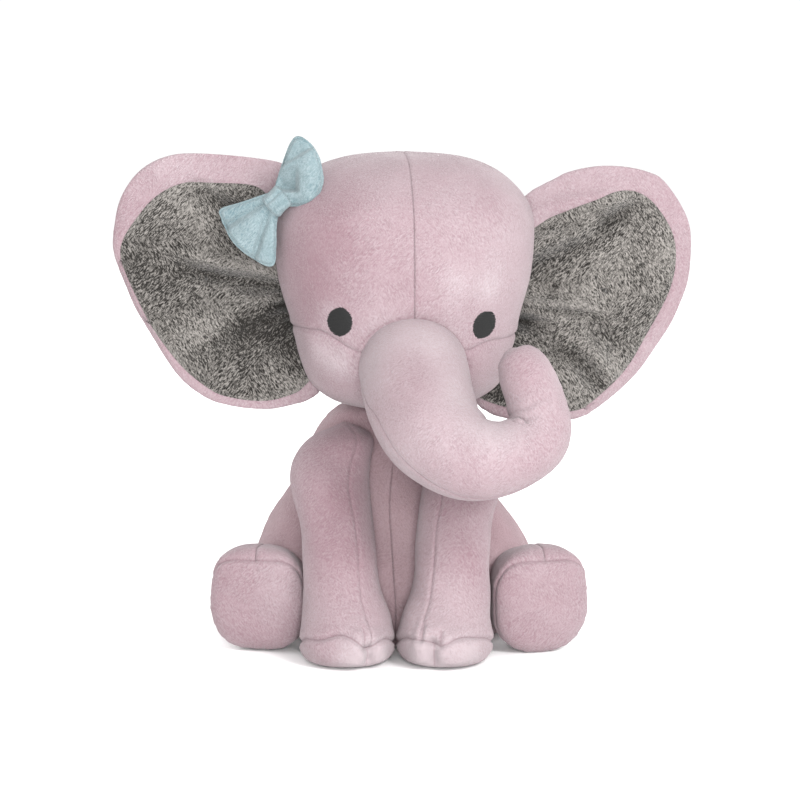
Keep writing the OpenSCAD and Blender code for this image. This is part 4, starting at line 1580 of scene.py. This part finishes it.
def stuffing(node, rides, lean=None):
    mesh = bpy.data.objects[node].data.copy()
    mesh.materials.clear()
    lump = added(node + "_lump", mesh)
    weld = lump.modifiers.new("weld", "WELD")
    weld.merge_threshold = 0.0001
    remesh = lump.modifiers.new("remesh", "REMESH")
    remesh.mode = "VOXEL"
    remesh.voxel_size = 3 * MM
    shown = lump.evaluated_get(bpy.context.evaluated_depsgraph_get())
    smooth_mesh = bpy.data.meshes.new_from_object(shown)
    bpy.data.objects.remove(lump)
    count = len(smooth_mesh.vertices)
    points = np.empty(count * 3)
    normals = np.empty(count * 3)
    smooth_mesh.vertices.foreach_get("co", points)
    smooth_mesh.vertex_normals.foreach_get("vector", normals)
    points, normals = points.reshape(-1, 3), normals.reshape(-1, 3)
    x, y, z = (points / (6 * MM)).T
    wave = (np.sin(x + 2 * np.sin(y)) + np.sin(y * 1.3 + 2 * np.sin(z)) + np.sin(1.2 * z + x)) / 3
    points = points - normals * FIBRE_ROUGHNESS * (1.0 + wave)[:, None]
    if lean:
        points = lean(points)
    smooth_mesh.vertices.foreach_set("co", points.ravel())
    smooth_mesh.update()
    smooth_mesh.materials.clear()
    sew(place(node + "_fibre", smooth_mesh, filling), rides, "fibre_filling", 0.6, node)


print("fillings")
stuffing("head_filling", "head")
stuffing("body_filling", "torso")
stuffing("trunk_filling", TRUNK_BEND)
for side, name in ((1, "left"), (-1, "right")):
    stuffing(f"front_filling_{name}", f"front_leg_{name}", shouldered(side))
for name in ("left", "right"):
    stuffing(f"hind_filling_{name}", f"hind_leg_{name}")

# %% Pellets and their bag
BAG_ROWS = [
    [0, 0, 4, 4, 4], [0, 0, 4.4, 22, 20], [0, 0, 7, 35, 32], [0, 0, 14, 40, 36],
    [0, 0, 22, 33, 30], [0, 0, 24.4, 8, 8], [0, 0, 25, 5, 5], [0, 0, 26, 6, 6],
]


def bag_shape(turn, up):
    return upright(BAG_ROWS, turn, up, 1.0)


BAG_HIGH, BAG_WIDE = 61, 128
GATHERS = 24
bag = blown(bag_shape, BAG_HIGH, BAG_WIDE, ("pellet_bag",), cap=0.3, coarse=(24, 32))
gathers = ease(bag.grid[..., 2], 0.016, 0.024) * np.sin(
    GATHERS * 2 * math.pi * np.arange(BAG_WIDE) / BAG_WIDE)
bag.rise += gathers * 0.7 * MM
piece = panel("pellet_bag_cloth", bag, bag.done(), (0, BAG_HIGH - 1), None, bag_cloth)
sew(piece, "torso", "bag_cloth", 0.5, "pellet_bag")

fill_low, fill_high = span("pellet_fill")
fill_middle, fill_half = (fill_low + fill_high) / 2, (fill_high - fill_low) / 2
random = np.random.default_rng(8)
step = 5.0 * MM
spots = []
for i, j, k in np.ndindex(16, 15, 4):
    spot = fill_low + (np.array([i, j, k]) + 0.6) * step + random.uniform(-0.4, 0.4, 3) * MM
    share = (spot - fill_middle) / (fill_half - 2.6 * MM)
    if abs(share[0]) ** 2.6 + abs(share[1]) ** 2.6 + abs(share[2]) ** 2.6 < 0.95:
        spots.append(spot)
pellet_tree = Tree("pellet_heap", Radius=2.1 * MM)
pea = pellet_tree.node("GeometryNodeMeshIcoSphere", Subdivisions=2,
                       Radius=pellet_tree.input("Radius"))[0]
heap = pellet_tree.node("GeometryNodeInstanceOnPoints", Points=pellet_tree.input("Geometry"),
                        Instance=pea)[0]
pellet_pieces = pellet_tree.end(heap, pellets).run("pellet_heap", spots, Radius=2.1 * MM)
tag(pellet_pieces, "torso", "pellets", "pellet_fill")
